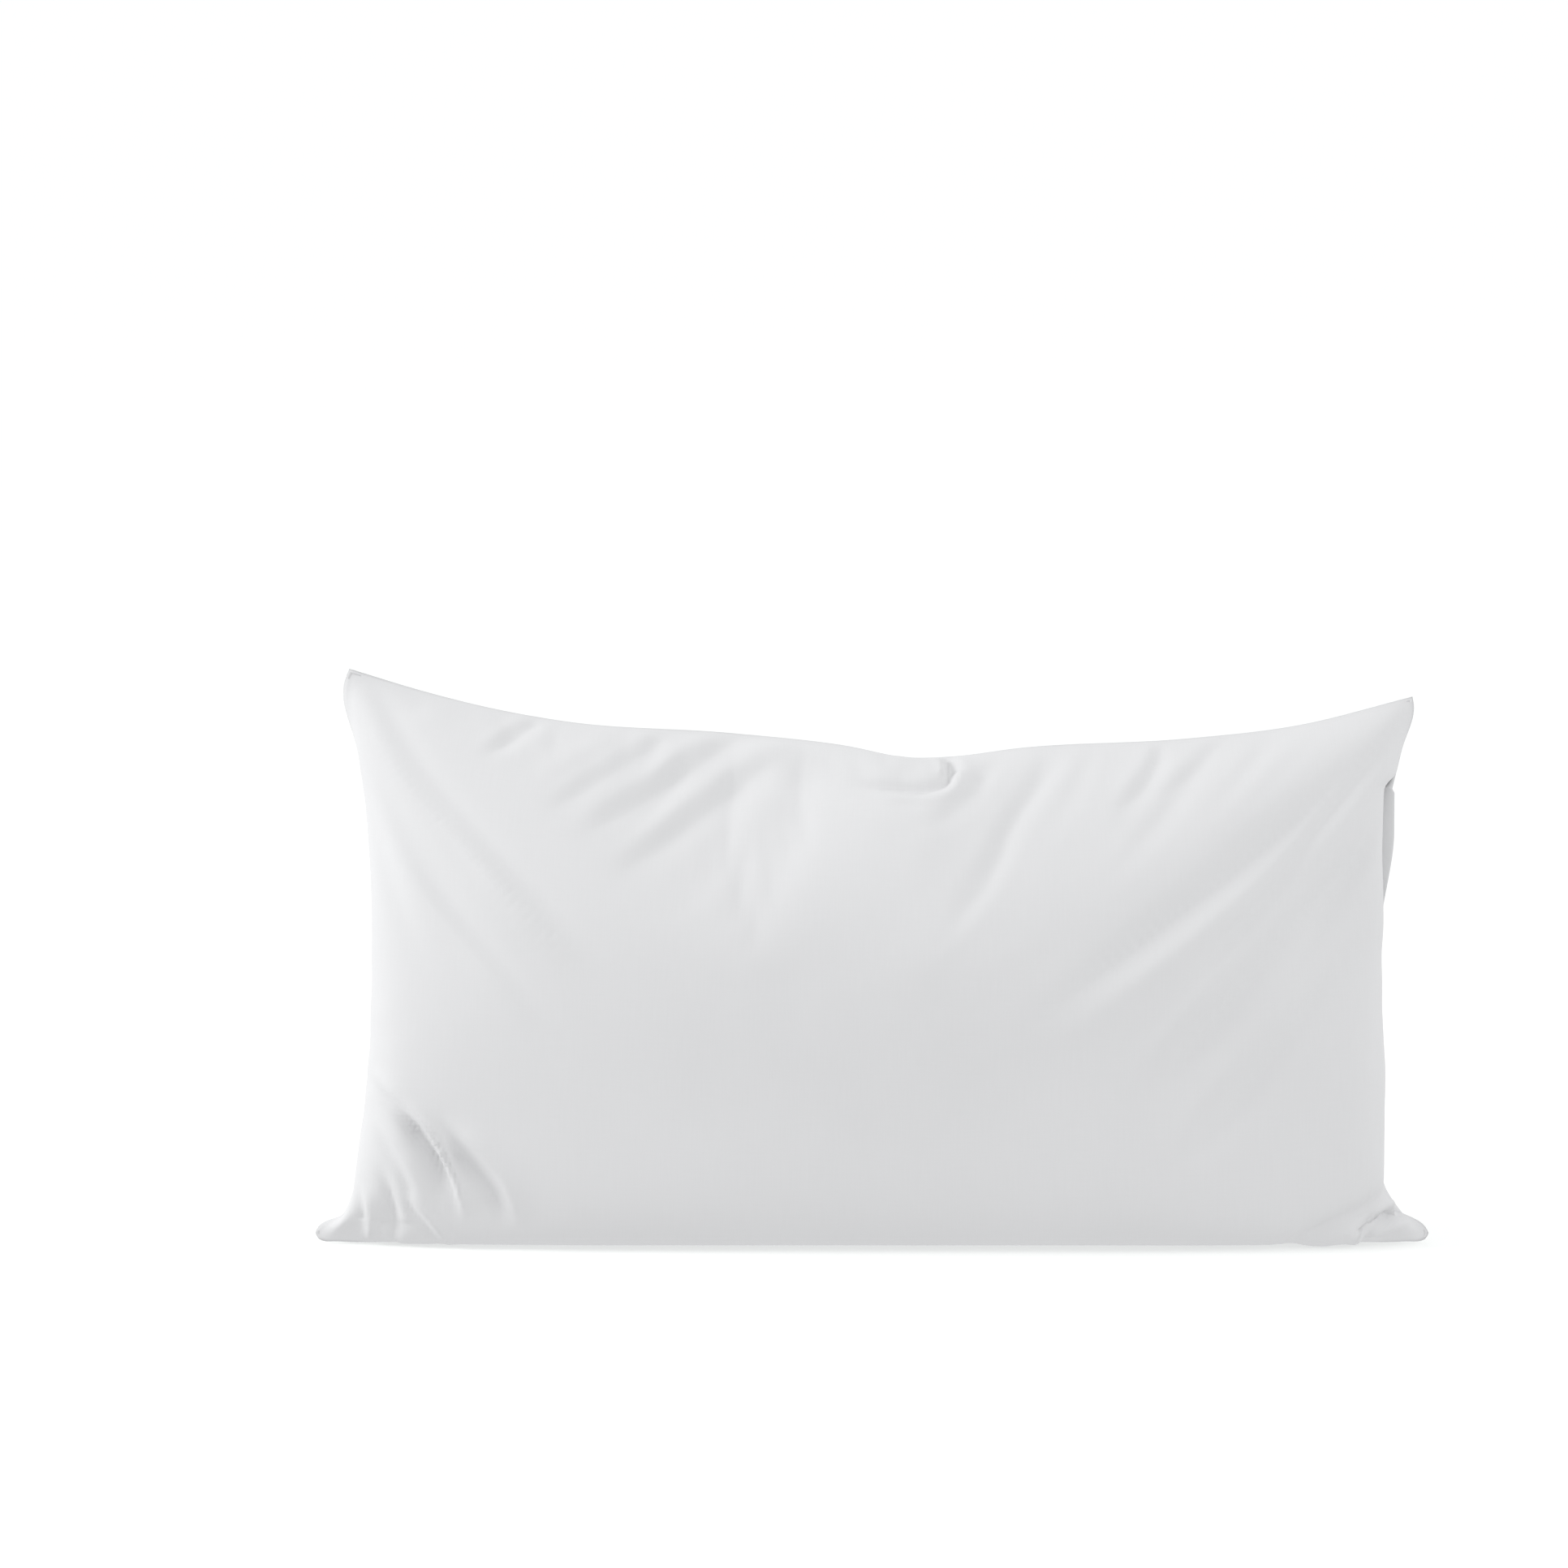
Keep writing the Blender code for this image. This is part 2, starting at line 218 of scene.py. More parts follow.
# %% [markdown]
# ## Cotton percale
# Percale is a plain weave of fine yarn, about 32 threads to the centimetre each way. Real yarn varies
# in thickness, so slightly thicker yarns show as short faint streaks along the warp and the weft. The
# pattern lies on the cut-cloth coordinates of each panel, so it bends with the folds.

# %% Cloth materials
YARN_PITCH = 0.00031
SLUB_LENGTH = 0.030
SLUB_WIDTH = 0.0011


def grain(wire):
    """Metres along the weft and the warp of the flat cloth."""
    flat = wire.add("ShaderNodeUVMap", {"uv_map": "cut"})
    weft = wire.add("ShaderNodeSeparateXYZ", {}, {0: flat})
    return flat, weft, weft.other(1)


def streaks(wire, flat, across, along):
    """Uneven yarn: noise that is fine across the yarn and long along it."""
    squeeze = (1 / across, 1 / along, 1)
    stretched = wire.add("ShaderNodeMapping", {}, {"Vector": flat, "Scale": squeeze})
    return wire.add("ShaderNodeTexNoise", {}, {"Vector": stretched, "Scale": 1.0, "Detail": 2.0})


def cotton(name, colour, slub, cloudy, pitch=YARN_PITCH, roughness=0.85, sheen=0.12):
    """Plain-weave cotton: weave and uneven yarn in the bump, faint yarn and clouds in the colour."""
    material, wire, shader = new_material(name, Roughness=roughness, Sheen_Weight=sheen,
                                          Sheen_Roughness=0.5, Specular_IOR_Level=0.25)
    flat, weft, warp = grain(wire)
    turns = 2 * pi / pitch
    weave = (weft * turns).sine() * (warp * turns).sine()
    warp_yarn = streaks(wire, flat, SLUB_WIDTH, SLUB_LENGTH)
    weft_yarn = streaks(wire, flat, SLUB_LENGTH, SLUB_WIDTH)
    yarn = warp_yarn * 0.62 + weft_yarn * 0.38
    cloud = wire.add("ShaderNodeTexNoise", {}, {"Vector": flat, "Scale": 9.0, "Detail": 3.0})
    tone = 1.0 + (yarn - 0.5) * slub + (cloud - 0.5) * cloudy
    feed(shaded(wire, colour, tone), shader, "Base Color")
    height = weave * 0.18 + yarn * 0.9
    feed(wire.add("ShaderNodeBump", {}, {"Strength": 0.5, "Distance": 0.00008, "Height": height}),
         shader, "Normal")
    return material


percale = cotton("percale", (0.750, 0.752, 0.757), 0.05, 0.04)
print("materials so far:", percale.name)

# %% [markdown]
# ## Cutting and sewing the cover
# A pillow cover is two flat rectangles sewn edge to edge. Filled, it bulges, and its seams have to
# draw in, because the cloth between them now goes the long way round. Cutting the real flat size and
# letting cloth simulation blow it up gives true folds: gathers at the seams, long pulls from corners.
# The seams are led from the flat cut to where they end up on a filled pillow stood on its edge.

# %% Where the seams end up
SEAM_TOP = [(-0.4199, 0.4660), (-0.3570, 0.4470), (-0.3070, 0.4345), (-0.2450, 0.4234),
            (-0.1140, 0.4142), (-0.0230, 0.4043), (0.0300, 0.3945), (0.0600, 0.3950),
            (0.1210, 0.4024), (0.2510, 0.4096), (0.3400, 0.4201), (0.4335, 0.4435)]
SEAM_LEFT = [(-0.4495, 0.0090), (-0.4465, 0.0150), (-0.4385, 0.0192), (-0.4285, 0.0225),
             (-0.4185, 0.0320), (-0.4075, 0.0883),
             (-0.3995, 0.1600), (-0.3990, 0.2400), (-0.4042, 0.3309), (-0.4134, 0.3984),
             (-0.4235, 0.4570), (-0.4199, 0.4660)]
SEAM_RIGHT = [(0.4495, 0.0085), (0.4465, 0.0145), (0.4385, 0.0200), (0.4285, 0.0248),
              (0.4165, 0.0345), (0.4110, 0.0687),
              (0.4072, 0.1800), (0.4101, 0.2903), (0.4166, 0.3604), (0.4251, 0.3998),
              (0.4345, 0.4395), (0.4335, 0.4435)]
SEAM_BOTTOM = [(-0.4495, 0.0090), (-0.4490, 0.0050), (-0.4450, 0.0023), (-0.4330, 0.0018),
               (-0.3600, 0.0018), (0.0, 0.0018), (0.3600, 0.0018), (0.4330, 0.0018),
               (0.4450, 0.0023), (0.4490, 0.0048), (0.4495, 0.0085)]
CURVE_STEPS = 16


def smooth_path(points):
    """A smooth curve through a few points, with each step's share of the length."""
    knots = np.array(points)
    run = np.concatenate([[0], np.cumsum(np.linalg.norm(np.diff(knots, axis=0), axis=1))])
    slopes = np.gradient(knots, run, axis=0)
    line = []
    for i in range(len(knots) - 1):
        gap = run[i + 1] - run[i]
        for t in np.arange(CURVE_STEPS) / CURVE_STEPS:
            line.append((2 * t ** 3 - 3 * t ** 2 + 1) * knots[i]
                        + (t ** 3 - 2 * t ** 2 + t) * gap * slopes[i]
                        + (3 * t ** 2 - 2 * t ** 3) * knots[i + 1]
                        + (t ** 3 - t ** 2) * gap * slopes[i + 1])
    line = np.array(line + [knots[-1]])
    run = np.concatenate([[0], np.cumsum(np.linalg.norm(np.diff(line, axis=0), axis=1))])
    return line, run / run[-1], run[-1]


def along(path, share):
    line, run, _ = path
    return np.stack([np.interp(share, run, line[:, 0]), np.interp(share, run, line[:, 1])], -1)


paths = {name: smooth_path(points) for name, points in
         (("top", SEAM_TOP), ("left", SEAM_LEFT), ("right", SEAM_RIGHT), ("bottom", SEAM_BOTTOM))}
print("seams drawn in to", {name: round(path[2], 3) for name, path in paths.items()}, "m")

# %% Cut two panels and sew them
CUT_LENGTH = 0.90
CUT_LEFT = 0.481
CUT_RIGHT = 0.464
LAID_APART = 0.001
CUT_LIFT = 0.004
COLUMNS = 140
ROWS = 78
zip_low, zip_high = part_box("zip_teeth_front")[0].z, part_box("zip_teeth_front")[1].z
tape_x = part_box("zip_tape_front")[1].x
MOUTH_HALF = 0.0062
MOUTH_EASE = 0.016
MOUTH_BELOW = 0.022
MOUTH_ABOVE = 0.006
MOUTH_LEAST = 0.0008


def only(obj):
    """Make one object the only selected and active one."""
    bpy.ops.object.select_all(action="DESELECT")
    obj.select_set(True)
    bpy.context.view_layer.objects.active = obj


def eased(value, start, end):
    """0 before start, 1 after end, and a smooth rise between them."""
    t = np.clip((value - start) / (end - start), 0, 1)
    return t * t * (3 - 2 * t)


def get_points(mesh):
    flat = np.empty(len(mesh.vertices) * 3)
    mesh.vertices.foreach_get("co", flat)
    return flat.reshape(-1, 3)


def set_points(mesh, points):
    mesh.vertices.foreach_set("co", np.ascontiguousarray(points).ravel())
    mesh.update()


def cut_width(u):
    return CUT_LEFT + (CUT_RIGHT - CUT_LEFT) * u


def shares(points):
    """Each point's share of the cut's length and width."""
    u = points[:, 0] / CUT_LENGTH + 0.5
    return u, (points[:, 2] - CUT_LIFT) / cut_width(u)


def flat_panel(name, side):
    """One flat rectangle of cloth, upright, facing out on its side (-1 front, 1 back)."""
    bpy.ops.object.select_all(action="DESELECT")
    bpy.ops.mesh.primitive_grid_add(x_subdivisions=COLUMNS, y_subdivisions=ROWS, size=1,
                                    location=(0, side * LAID_APART, 0.5), rotation=(pi / 2, 0, 0))
    panel = bpy.context.object
    panel.name = name
    bpy.ops.object.transform_apply(location=True, rotation=True, scale=True)
    if side == BACK:
        bpy.ops.object.mode_set(mode="EDIT")
        bpy.ops.mesh.select_all(action="SELECT")
        bpy.ops.mesh.flip_normals()
        bpy.ops.object.mode_set(mode="OBJECT")
    points = get_points(panel.data)
    u = points[:, 0] + 0.5
    points[:, 0] *= CUT_LENGTH
    points[:, 2] = CUT_LIFT + points[:, 2] * cut_width(u)
    set_points(panel.data, points)
    return panel


def mouth(height):
    """1 where the cover's short edge is open over the zip, easing to 0 where it is sewn."""
    rise = (height - (zip_low - MOUTH_BELOW)) / MOUTH_EASE
    fall = ((zip_high + MOUTH_ABOVE) - height) / MOUTH_EASE
    return eased(np.minimum(rise, fall), 0, 1)


def drawn_in(u, v):
    """The place in the upright plane of a share of the cut, led by the four seams."""
    low, high = along(paths["bottom"], u), along(paths["top"], u)
    left, right = along(paths["left"], v), along(paths["right"], v)
    u, v = u[:, None], v[:, None]
    corners = [along(paths[name], share) for name, share in
               (("bottom", 0), ("bottom", 1), ("top", 0), ("top", 1))]
    flat = ((1 - u) * (1 - v) * corners[0] + u * (1 - v) * corners[1]
            + (1 - u) * v * corners[2] + u * v * corners[3])
    return (1 - v) * low + v * high + (1 - u) * left + u * right - flat


def on_edge(u, v):
    return (np.minimum(u, 1 - u) < 1e-4) | (np.minimum(v, 1 - v) < 1e-4)


def sew_bag():
    """Both panels as one bag, closed all round except over the zip."""
    panels = [flat_panel("front_cut", FRONT), flat_panel("back_cut", BACK)]
    for panel in panels:
        points = get_points(panel.data)
        u, v = shares(points)
        opened = (u > 1 - 1e-4) & (mouth(along(paths["right"], v)[:, 1]) > 0)
        points[on_edge(u, v) & ~opened, 1] = 0
        set_points(panel.data, points)
    bpy.ops.object.select_all(action="DESELECT")
    for panel in panels:
        panel.select_set(True)
    bpy.context.view_layer.objects.active = panels[0]
    bpy.ops.object.join()
    bag = bpy.context.object
    bag.name = "bag"
    bpy.ops.object.mode_set(mode="EDIT")
    bpy.ops.mesh.select_all(action="SELECT")
    bpy.ops.mesh.remove_doubles(threshold=LAID_APART / 4)
    bpy.ops.object.mode_set(mode="OBJECT")
    return bag


FRONT, BACK = -1, 1
bag = sew_bag()
print("the bag has", len(bag.data.vertices), "points")

# %% Fill the bag and let it settle
DRAW_FRAMES = 14
FRAMES = 34
PRESSURE = 34.0
YARN_MASS = 0.077
STIFFNESS = 0.08              # against bending; the next two are against pulling and shearing
PULL_STIFFNESS = 80
SHEAR_STIFFNESS = 5
DAMPING = 4
CLOTH_QUALITY = 6
CLOTH_CLEAR, GROUND_SKIN = 0.001, 0.002
WEIGHT = 0.7
FILLING_WEIGHT = 12.0


def seam_goal(cut):
    """Where the seam points are led to, and which points those are."""
    u, v = shares(cut)
    goal = cut.copy()
    goal[:, [0, 2]] = drawn_in(u, v)
    opened = (u > 1 - 1e-4) & (np.abs(cut[:, 1]) > 1e-6)
    goal[on_edge(u, v) & ~opened, 1] = 0
    goal[opened, 1] = np.sign(cut[opened, 1]) * (MOUTH_LEAST + MOUTH_HALF * mouth(goal[opened, 2]))
    return goal, on_edge(u, v)


def fill(bag):
    """Blow the bag up while its seams are drawn in, resting on the ground."""
    cut = get_points(bag.data)
    goal, on_seam = seam_goal(cut)
    bag.shape_key_add(name="cut")
    drawn = bag.shape_key_add(name="drawn_in")
    drawn.data.foreach_set("co", goal.ravel())
    held = bag.vertex_groups.new(name="seam")
    held.add([int(i) for i in np.flatnonzero(on_seam)], 1.0, "REPLACE")
    cloth = bag.modifiers.new("Cloth", "CLOTH")
    yarns = cloth.settings
    yarns.quality = CLOTH_QUALITY
    yarns.mass = YARN_MASS
    yarns.tension_stiffness = yarns.compression_stiffness = PULL_STIFFNESS
    yarns.shear_stiffness = SHEAR_STIFFNESS
    yarns.bending_stiffness = STIFFNESS
    yarns.tension_damping = yarns.compression_damping = yarns.shear_damping = DAMPING
    yarns.use_pressure = True
    yarns.uniform_pressure_force = PRESSURE
    yarns.fluid_density = FILLING_WEIGHT
    yarns.vertex_group_mass = "seam"
    yarns.effector_weights.gravity = WEIGHT
    cloth.collision_settings.distance_min = CLOTH_CLEAR
    cloth.point_cache.frame_end = FRAMES
    floor.modifiers.new("Collision", "COLLISION")
    floor.collision.thickness_outer = GROUND_SKIN
    scene = bpy.context.scene
    for step, value in ((1, 0.0), (DRAW_FRAMES, 1.0)):
        drawn.value = value
        drawn.keyframe_insert("value", frame=step)
    for step in range(1, FRAMES + 1):
        scene.frame_set(step)
    settled = bag.evaluated_get(bpy.context.evaluated_depsgraph_get()).to_mesh()
    points = get_points(settled)
    bag.data.shape_keys.animation_data_clear()
    bag.modifiers.clear()
    bag.shape_key_clear()
    floor.modifiers.clear()
    scene.frame_set(1)
    return cut, points


cut_points, filled = fill(bag)
print("filled depth", round(float(np.ptp(filled[:, 1])), 3), "m")

# %% [markdown]
# ## From the bag to two panels
# The settled bag is read back as two sheets of points, front and back, in the order of the cloth's
# columns and rows. Every later step, such as a smoother seam or a fold pressed in, is then a
# plain sum on rows and columns.


# %% Read the two sheets of points
def to_grid(cut, points, side):
    """Points of one panel as an array of rows, columns and places."""
    u, v = shares(cut)
    mine = (np.abs(cut[:, 1]) < 1e-6) | (np.sign(cut[:, 1]) == side)
    grid = np.zeros((ROWS + 1, COLUMNS + 1, 3))
    grid[np.rint(v[mine] * ROWS).astype(int), np.rint(u[mine] * COLUMNS).astype(int)] = points[mine]
    return grid


def edge_distance(shape):
    """Each grid point's number of rows or columns from the nearest edge."""
    row, column = np.indices(shape)
    return np.minimum.reduce([row, column, shape[0] - 1 - row, shape[1] - 1 - column])


def relaxed(grid, weight, rounds):
    """Each point moved towards the middle of its four neighbours, the edge held."""
    grid = grid.copy()
    for _ in range(rounds):
        middle = (grid[:-2, 1:-1] + grid[2:, 1:-1] + grid[1:-1, :-2] + grid[1:-1, 2:]) / 4
        grid[1:-1, 1:-1] += (middle - grid[1:-1, 1:-1]) * weight[1:-1, 1:-1, None]
    return grid


def finer(grid):
    """Twice as many rows and columns, on the smooth surface that the points suggest."""
    for axis in (0, 1):
        line = np.moveaxis(grid, axis, 0)
        wide = np.concatenate([2 * line[:1] - line[1:2], line, 2 * line[-1:] - line[-2:-1]])
        out = np.empty((2 * len(line) - 1,) + line.shape[1:])
        out[::2] = (wide[:-2] + 6 * wide[1:-1] + wide[2:]) / 8
        out[1::2] = (line[:-1] + line[1:]) / 2
        grid = np.moveaxis(out, 0, axis)
    return grid


def facing(grid, side):
    """Outward direction at each point of a panel."""
    normal = np.cross(np.gradient(grid, axis=1), np.gradient(grid, axis=0)) * -side
    return normal / np.maximum(np.linalg.norm(normal, axis=2, keepdims=True), 1e-12)


GROUND = 0.0012               # the lowest that the cloth lies
DEPTH_TRIM = 0.915            # the filling packed a little flatter than the simulation leaves it
LOOSE, LOOSE_AT_SEAM = 0.34, 0.5
LOOSE_ROUNDS = 4
SEAM_REACH = 2.5
UNDERSIDE = 0.985             # how flat the underside is pressed, and up to what height
UNDERSIDE_RISE = 0.066
UNDERSIDE_END = 0.432
UNDERSIDE_EASE = 0.055
BASE_SPREAD = 0.62            # how much wider the pressed part gets, less so towards the corners
SPREAD_RISE = 0.085
SPREAD_END = 0.430
SPREAD_EASE = 0.200


def settled_down(grid):
    """The lower roll pressed on to the ground by the weight above it, leaving the corners alone."""
    reach, height = np.abs(grid[:, :, 0]), grid[:, :, 2]
    middle = eased((UNDERSIDE_END - reach) / UNDERSIDE_EASE, 0, 1)
    share = eased((SPREAD_END - reach) / SPREAD_EASE, 0, 1)
    low = UNDERSIDE * np.exp(-(height / UNDERSIDE_RISE) ** 2)
    spread = 1 + BASE_SPREAD * share * np.exp(-(height / SPREAD_RISE) ** 2)
    out = grid.copy()
    out[:, :, 1] *= DEPTH_TRIM * spread
    out[:, :, 2] = np.maximum(height * (1 - low * middle), GROUND)
    return out


near_seam = np.exp(-edge_distance((ROWS + 1, COLUMNS + 1)) / SEAM_REACH)
looseness = LOOSE + LOOSE_AT_SEAM * near_seam
sheets = {side: to_grid(cut_points, filled, side) for side in (FRONT, BACK)}
for side in sheets:
    sheets[side] = finer(settled_down(relaxed(sheets[side], looseness, LOOSE_ROUNDS)))
bpy.data.objects.remove(bag)
print("each panel has", sheets[FRONT].shape[0], "rows and", sheets[FRONT].shape[1], "columns")

# %% [markdown]
# ## Folds pressed in
# Cloth that has been packed and stood up keeps creases that no simple filling gives: crumples above
# one lower corner, a tuck where the other is folded under, and a pinch in the top edge. Each is a
# path on the front panel with a height, a width on either side, and ends that fade out.

# %% Press the folds in
FOLDS = [
    # crumples above the lower left corner: places along the fold, height, width up, width down
    ([(-0.404, 0.150), (-0.386, 0.132), (-0.366, 0.112), (-0.345, 0.082)], 0.0054, 0.0110, 0.0044),
    ([(-0.402, 0.112), (-0.386, 0.094), (-0.366, 0.058), (-0.356, 0.030)], 0.0040, 0.0120, 0.0050),
    ([(-0.386, 0.118), (-0.368, 0.100), (-0.353, 0.078), (-0.342, 0.036)], -0.0076, 0.0058, 0.0068),
    ([(-0.362, 0.110), (-0.346, 0.086), (-0.334, 0.060), (-0.326, 0.020)], 0.0058, 0.0070, 0.0038),
    ([(-0.350, 0.100), (-0.326, 0.074), (-0.306, 0.048), (-0.292, 0.014)], -0.0062, 0.0058, 0.0068),
    ([(-0.344, 0.112), (-0.318, 0.088), (-0.294, 0.058), (-0.280, 0.018)], 0.0032, 0.0120, 0.0042),
    ([(-0.398, 0.074), (-0.388, 0.044), (-0.386, 0.016), (-0.390, -0.010)], -0.0046, 0.0050, 0.0060),
    ([(-0.382, 0.062), (-0.366, 0.040), (-0.348, 0.016), (-0.336, -0.004)], 0.0040, 0.0060, 0.0040),
    ([(-0.410, 0.056), (-0.404, 0.034), (-0.404, 0.012), (-0.408, -0.008)], 0.0040, 0.0050, 0.0036),
    # the pinch in the top edge: a puff, the crease that it hangs over, and the crease's far lip
    ([(-0.150, 0.410), (-0.050, 0.396), (0.018, 0.390), (0.056, 0.388), (0.088, 0.396)],
     0.0046, 0.0200, 0.0110),
    ([(-0.020, 0.377), (0.024, 0.3735), (0.048, 0.3735), (0.061, 0.379), (0.062, 0.390), (0.052, 0.404),
      (0.040, 0.418)], -0.0052, 0.0046, 0.0034),
    ([(0.052, 0.412), (0.070, 0.396), (0.075, 0.380), (0.060, 0.366), (0.020, 0.360)],
     0.0020, 0.0080, 0.0070),
    # gathers left of the pinch, running down and to the left
    ([(-0.080, 0.424), (-0.130, 0.398), (-0.190, 0.362), (-0.240, 0.334)], -0.0040, 0.0075, 0.0110),
    ([(-0.050, 0.408), (-0.104, 0.376), (-0.160, 0.338), (-0.215, 0.300)], -0.0034, 0.0080, 0.0120),
    ([(-0.140, 0.430), (-0.180, 0.402), (-0.220, 0.380), (-0.270, 0.350)], -0.0020, 0.0060, 0.0080),
    ([(-0.252, 0.438), (-0.270, 0.424), (-0.292, 0.410), (-0.318, 0.398)], -0.0024, 0.0050, 0.0060),
    ([(0.236, 0.420), (0.230, 0.396), (0.214, 0.372), (0.190, 0.350)], -0.0022, 0.0060, 0.0075),
    ([(0.292, 0.424), (0.276, 0.404), (0.250, 0.380), (0.222, 0.362)], -0.0018, 0.0060, 0.0080),
    # long pulls from the upper corners
    ([(-0.430, 0.480), (-0.382, 0.392), (-0.310, 0.312), (-0.220, 0.226)], 0.0058, 0.0090, 0.0200),
    ([(-0.400, 0.340), (-0.352, 0.282), (-0.310, 0.234), (-0.262, 0.180)], 0.0024, 0.0070, 0.0120),
    ([(0.440, 0.440), (0.340, 0.350), (0.235, 0.272), (0.110, 0.176)], -0.0066, 0.0130, 0.0120),
    ([(0.420, 0.352), (0.340, 0.268), (0.262, 0.180), (0.210, 0.112)], -0.0054, 0.0110, 0.0120),
    ([(0.400, 0.270), (0.330, 0.178), (0.280, 0.112), (0.240, 0.060)], -0.0044, 0.0110, 0.0130),
    # the lower right corner, folded under: a diagonal fold, a pocket and its lip
    ([(0.436, 0.064), (0.406, 0.040), (0.372, 0.022), (0.318, -0.004)], -0.0066, 0.0080, 0.0060),
    ([(0.436, 0.028), (0.416, 0.025), (0.400, 0.020), (0.386, 0.006)], -0.0125, 0.0050, 0.0042),
    ([(0.386, -0.008), (0.390, 0.008), (0.398, 0.022), (0.414, 0.034)], 0.0048, 0.0050, 0.0042),
]
BACK_FOLDS = [
    # long pulls from the corners and gathers under the top edge
    ([(-0.440, 0.480), (-0.370, 0.380), (-0.290, 0.300), (-0.190, 0.220)], 0.0044, 0.0110, 0.0180),
    ([(-0.410, 0.360), (-0.340, 0.280), (-0.270, 0.190), (-0.220, 0.110)], -0.0034, 0.0110, 0.0130),
    ([(0.440, 0.450), (0.370, 0.370), (0.280, 0.300), (0.170, 0.230)], 0.0042, 0.0100, 0.0170),
    ([(0.400, 0.330), (0.340, 0.250), (0.290, 0.170), (0.250, 0.100)], -0.0030, 0.0110, 0.0120),
    ([(0.120, 0.424), (0.080, 0.392), (0.050, 0.350), (0.030, 0.300)], -0.0036, 0.0080, 0.0100),
    ([(0.010, 0.420), (-0.010, 0.384), (-0.030, 0.344), (-0.080, 0.300)], -0.0032, 0.0080, 0.0110),
    ([(0.200, 0.430), (0.170, 0.398), (0.150, 0.362), (0.140, 0.320)], -0.0026, 0.0070, 0.0090),
    ([(0.420, 0.110), (0.390, 0.080), (0.362, 0.050), (0.330, 0.010)], 0.0034, 0.0090, 0.0045),
    ([(0.400, 0.080), (0.378, 0.054), (0.362, 0.030), (0.350, 0.000)], -0.0034, 0.0060, 0.0070),
    ([(-0.424, 0.100), (-0.390, 0.074), (-0.360, 0.044), (-0.320, 0.006)], 0.0030, 0.0080, 0.0045),
]
FADE = 0.36                   # share of a fold's length over which each end fades out
CREST = 1.7                   # 2 is a round crest, less is sharper
ECHO, ECHO_AWAY = 0.42, 1.9   # depth of the trough beside a fold, and how many widths away
HELD_ROWS = 4                 # rows beside a seam over which the folds fade to nothing


def fold(grid, side, path, height, width_up, width_down):
    """Move a sheet out along its normals by a ridge, or in by a valley, along a path on its face.

    Its narrower side is the steep one, and falls into a small trough, as buckled cloth does.
    """
    line, run, _ = smooth_path(path)
    flat = grid[:, :, [0, 2]]
    reach = 4 * max(width_up, width_down)
    inside = ((flat > line.min(0) - reach) & (flat < line.max(0) + reach)).all(-1)
    places = flat[inside]
    gap = places[:, None] - line[None]
    nearest = np.argmin((gap ** 2).sum(-1), axis=1)
    direction = np.gradient(line, axis=0)
    direction /= np.linalg.norm(direction, axis=1, keepdims=True)
    direction *= np.where(direction[:, :1] < 0, -1, 1)
    off = gap[np.arange(len(places)), nearest]
    up = direction[nearest, 0] * off[:, 1] - direction[nearest, 1] * off[:, 0]
    width = np.where(up > 0, width_up, width_down)
    away = np.linalg.norm(off, axis=1)
    taper = eased(np.minimum(run[nearest], 1 - run[nearest]) / FADE, 0, 1)
    steep = min(width_up, width_down)
    trough = ECHO_AWAY * steep * (1 if width_up < width_down else -1)
    echo = ECHO * np.exp(-((up - trough) / steep) ** 2) * np.exp(-((away - abs(up)) / steep) ** 2)
    push = height * taper * (np.exp(-(away / width) ** CREST) - echo)
    out = grid.copy()
    out[inside] += facing(grid, side)[inside] * push[:, None]
    return out


def press_folds(grid, side, folds):
    """Press every fold in, fading each to nothing at the seams."""
    held = grid.copy()
    for path, height, width_up, width_down in folds:
        grid = fold(grid, side, path, height, width_up, width_down)
    near = np.clip(edge_distance(grid.shape[:2]) / HELD_ROWS, 0, 1)[:, :, None]
    out = held + (grid - held) * near
    out[:, :, 2] = np.maximum(out[:, :, 2], GROUND)
    return out


sheets[FRONT] = press_folds(sheets[FRONT], FRONT, FOLDS)
sheets[BACK] = press_folds(sheets[BACK], BACK, BACK_FOLDS)
print(len(FOLDS), "folds pressed into the front panel,", len(BACK_FOLDS), "into the back")

# %% Draw the opening's edge back
EDGE_DRAWN = 0.0075
EDGE_SOFT = 8
EDGE_START = (0.258, 0.325)
EDGE_STOP = (0.369, 0.383)


def turned_back(grid):
    """The opening's front edge drawn back at its upper end, where the lip behind it shows."""
    z = grid[:, :, 2]
    window = eased(z, *EDGE_START) * (1 - eased(z, *EDGE_STOP))
    from_edge = grid.shape[1] - 1 - np.indices(grid.shape[:2])[1]
    out = grid.copy()
    out[:, :, 0] -= EDGE_DRAWN * window * np.exp(-(from_edge / EDGE_SOFT) ** 2)
    return out


sheets[FRONT] = turned_back(sheets[FRONT])
print("edge drawn back by up to", EDGE_DRAWN * 1000, "mm")

# %% [markdown]
# ## A panel of cloth as a piece
# The sheet becomes a grid of faces. Its edge is extruded twice: once round the roll of the seam, and
# once into the seam allowance, or over the zip into the facing that runs in to the tape. Solidify
# then gives the cloth its thickness, so that each panel is a closed body.

# %% Build a panel
SEAM_HALF = 0.0006
SEAM_ROLL = 0.0003
SEAM_TOUCH = 0.00008
SEAM_TUCK = 0.0030
CLOTH_THICK = 0.0005
FACING_HALF = 0.0058
FACING_OVER_TAPE = 0.0006


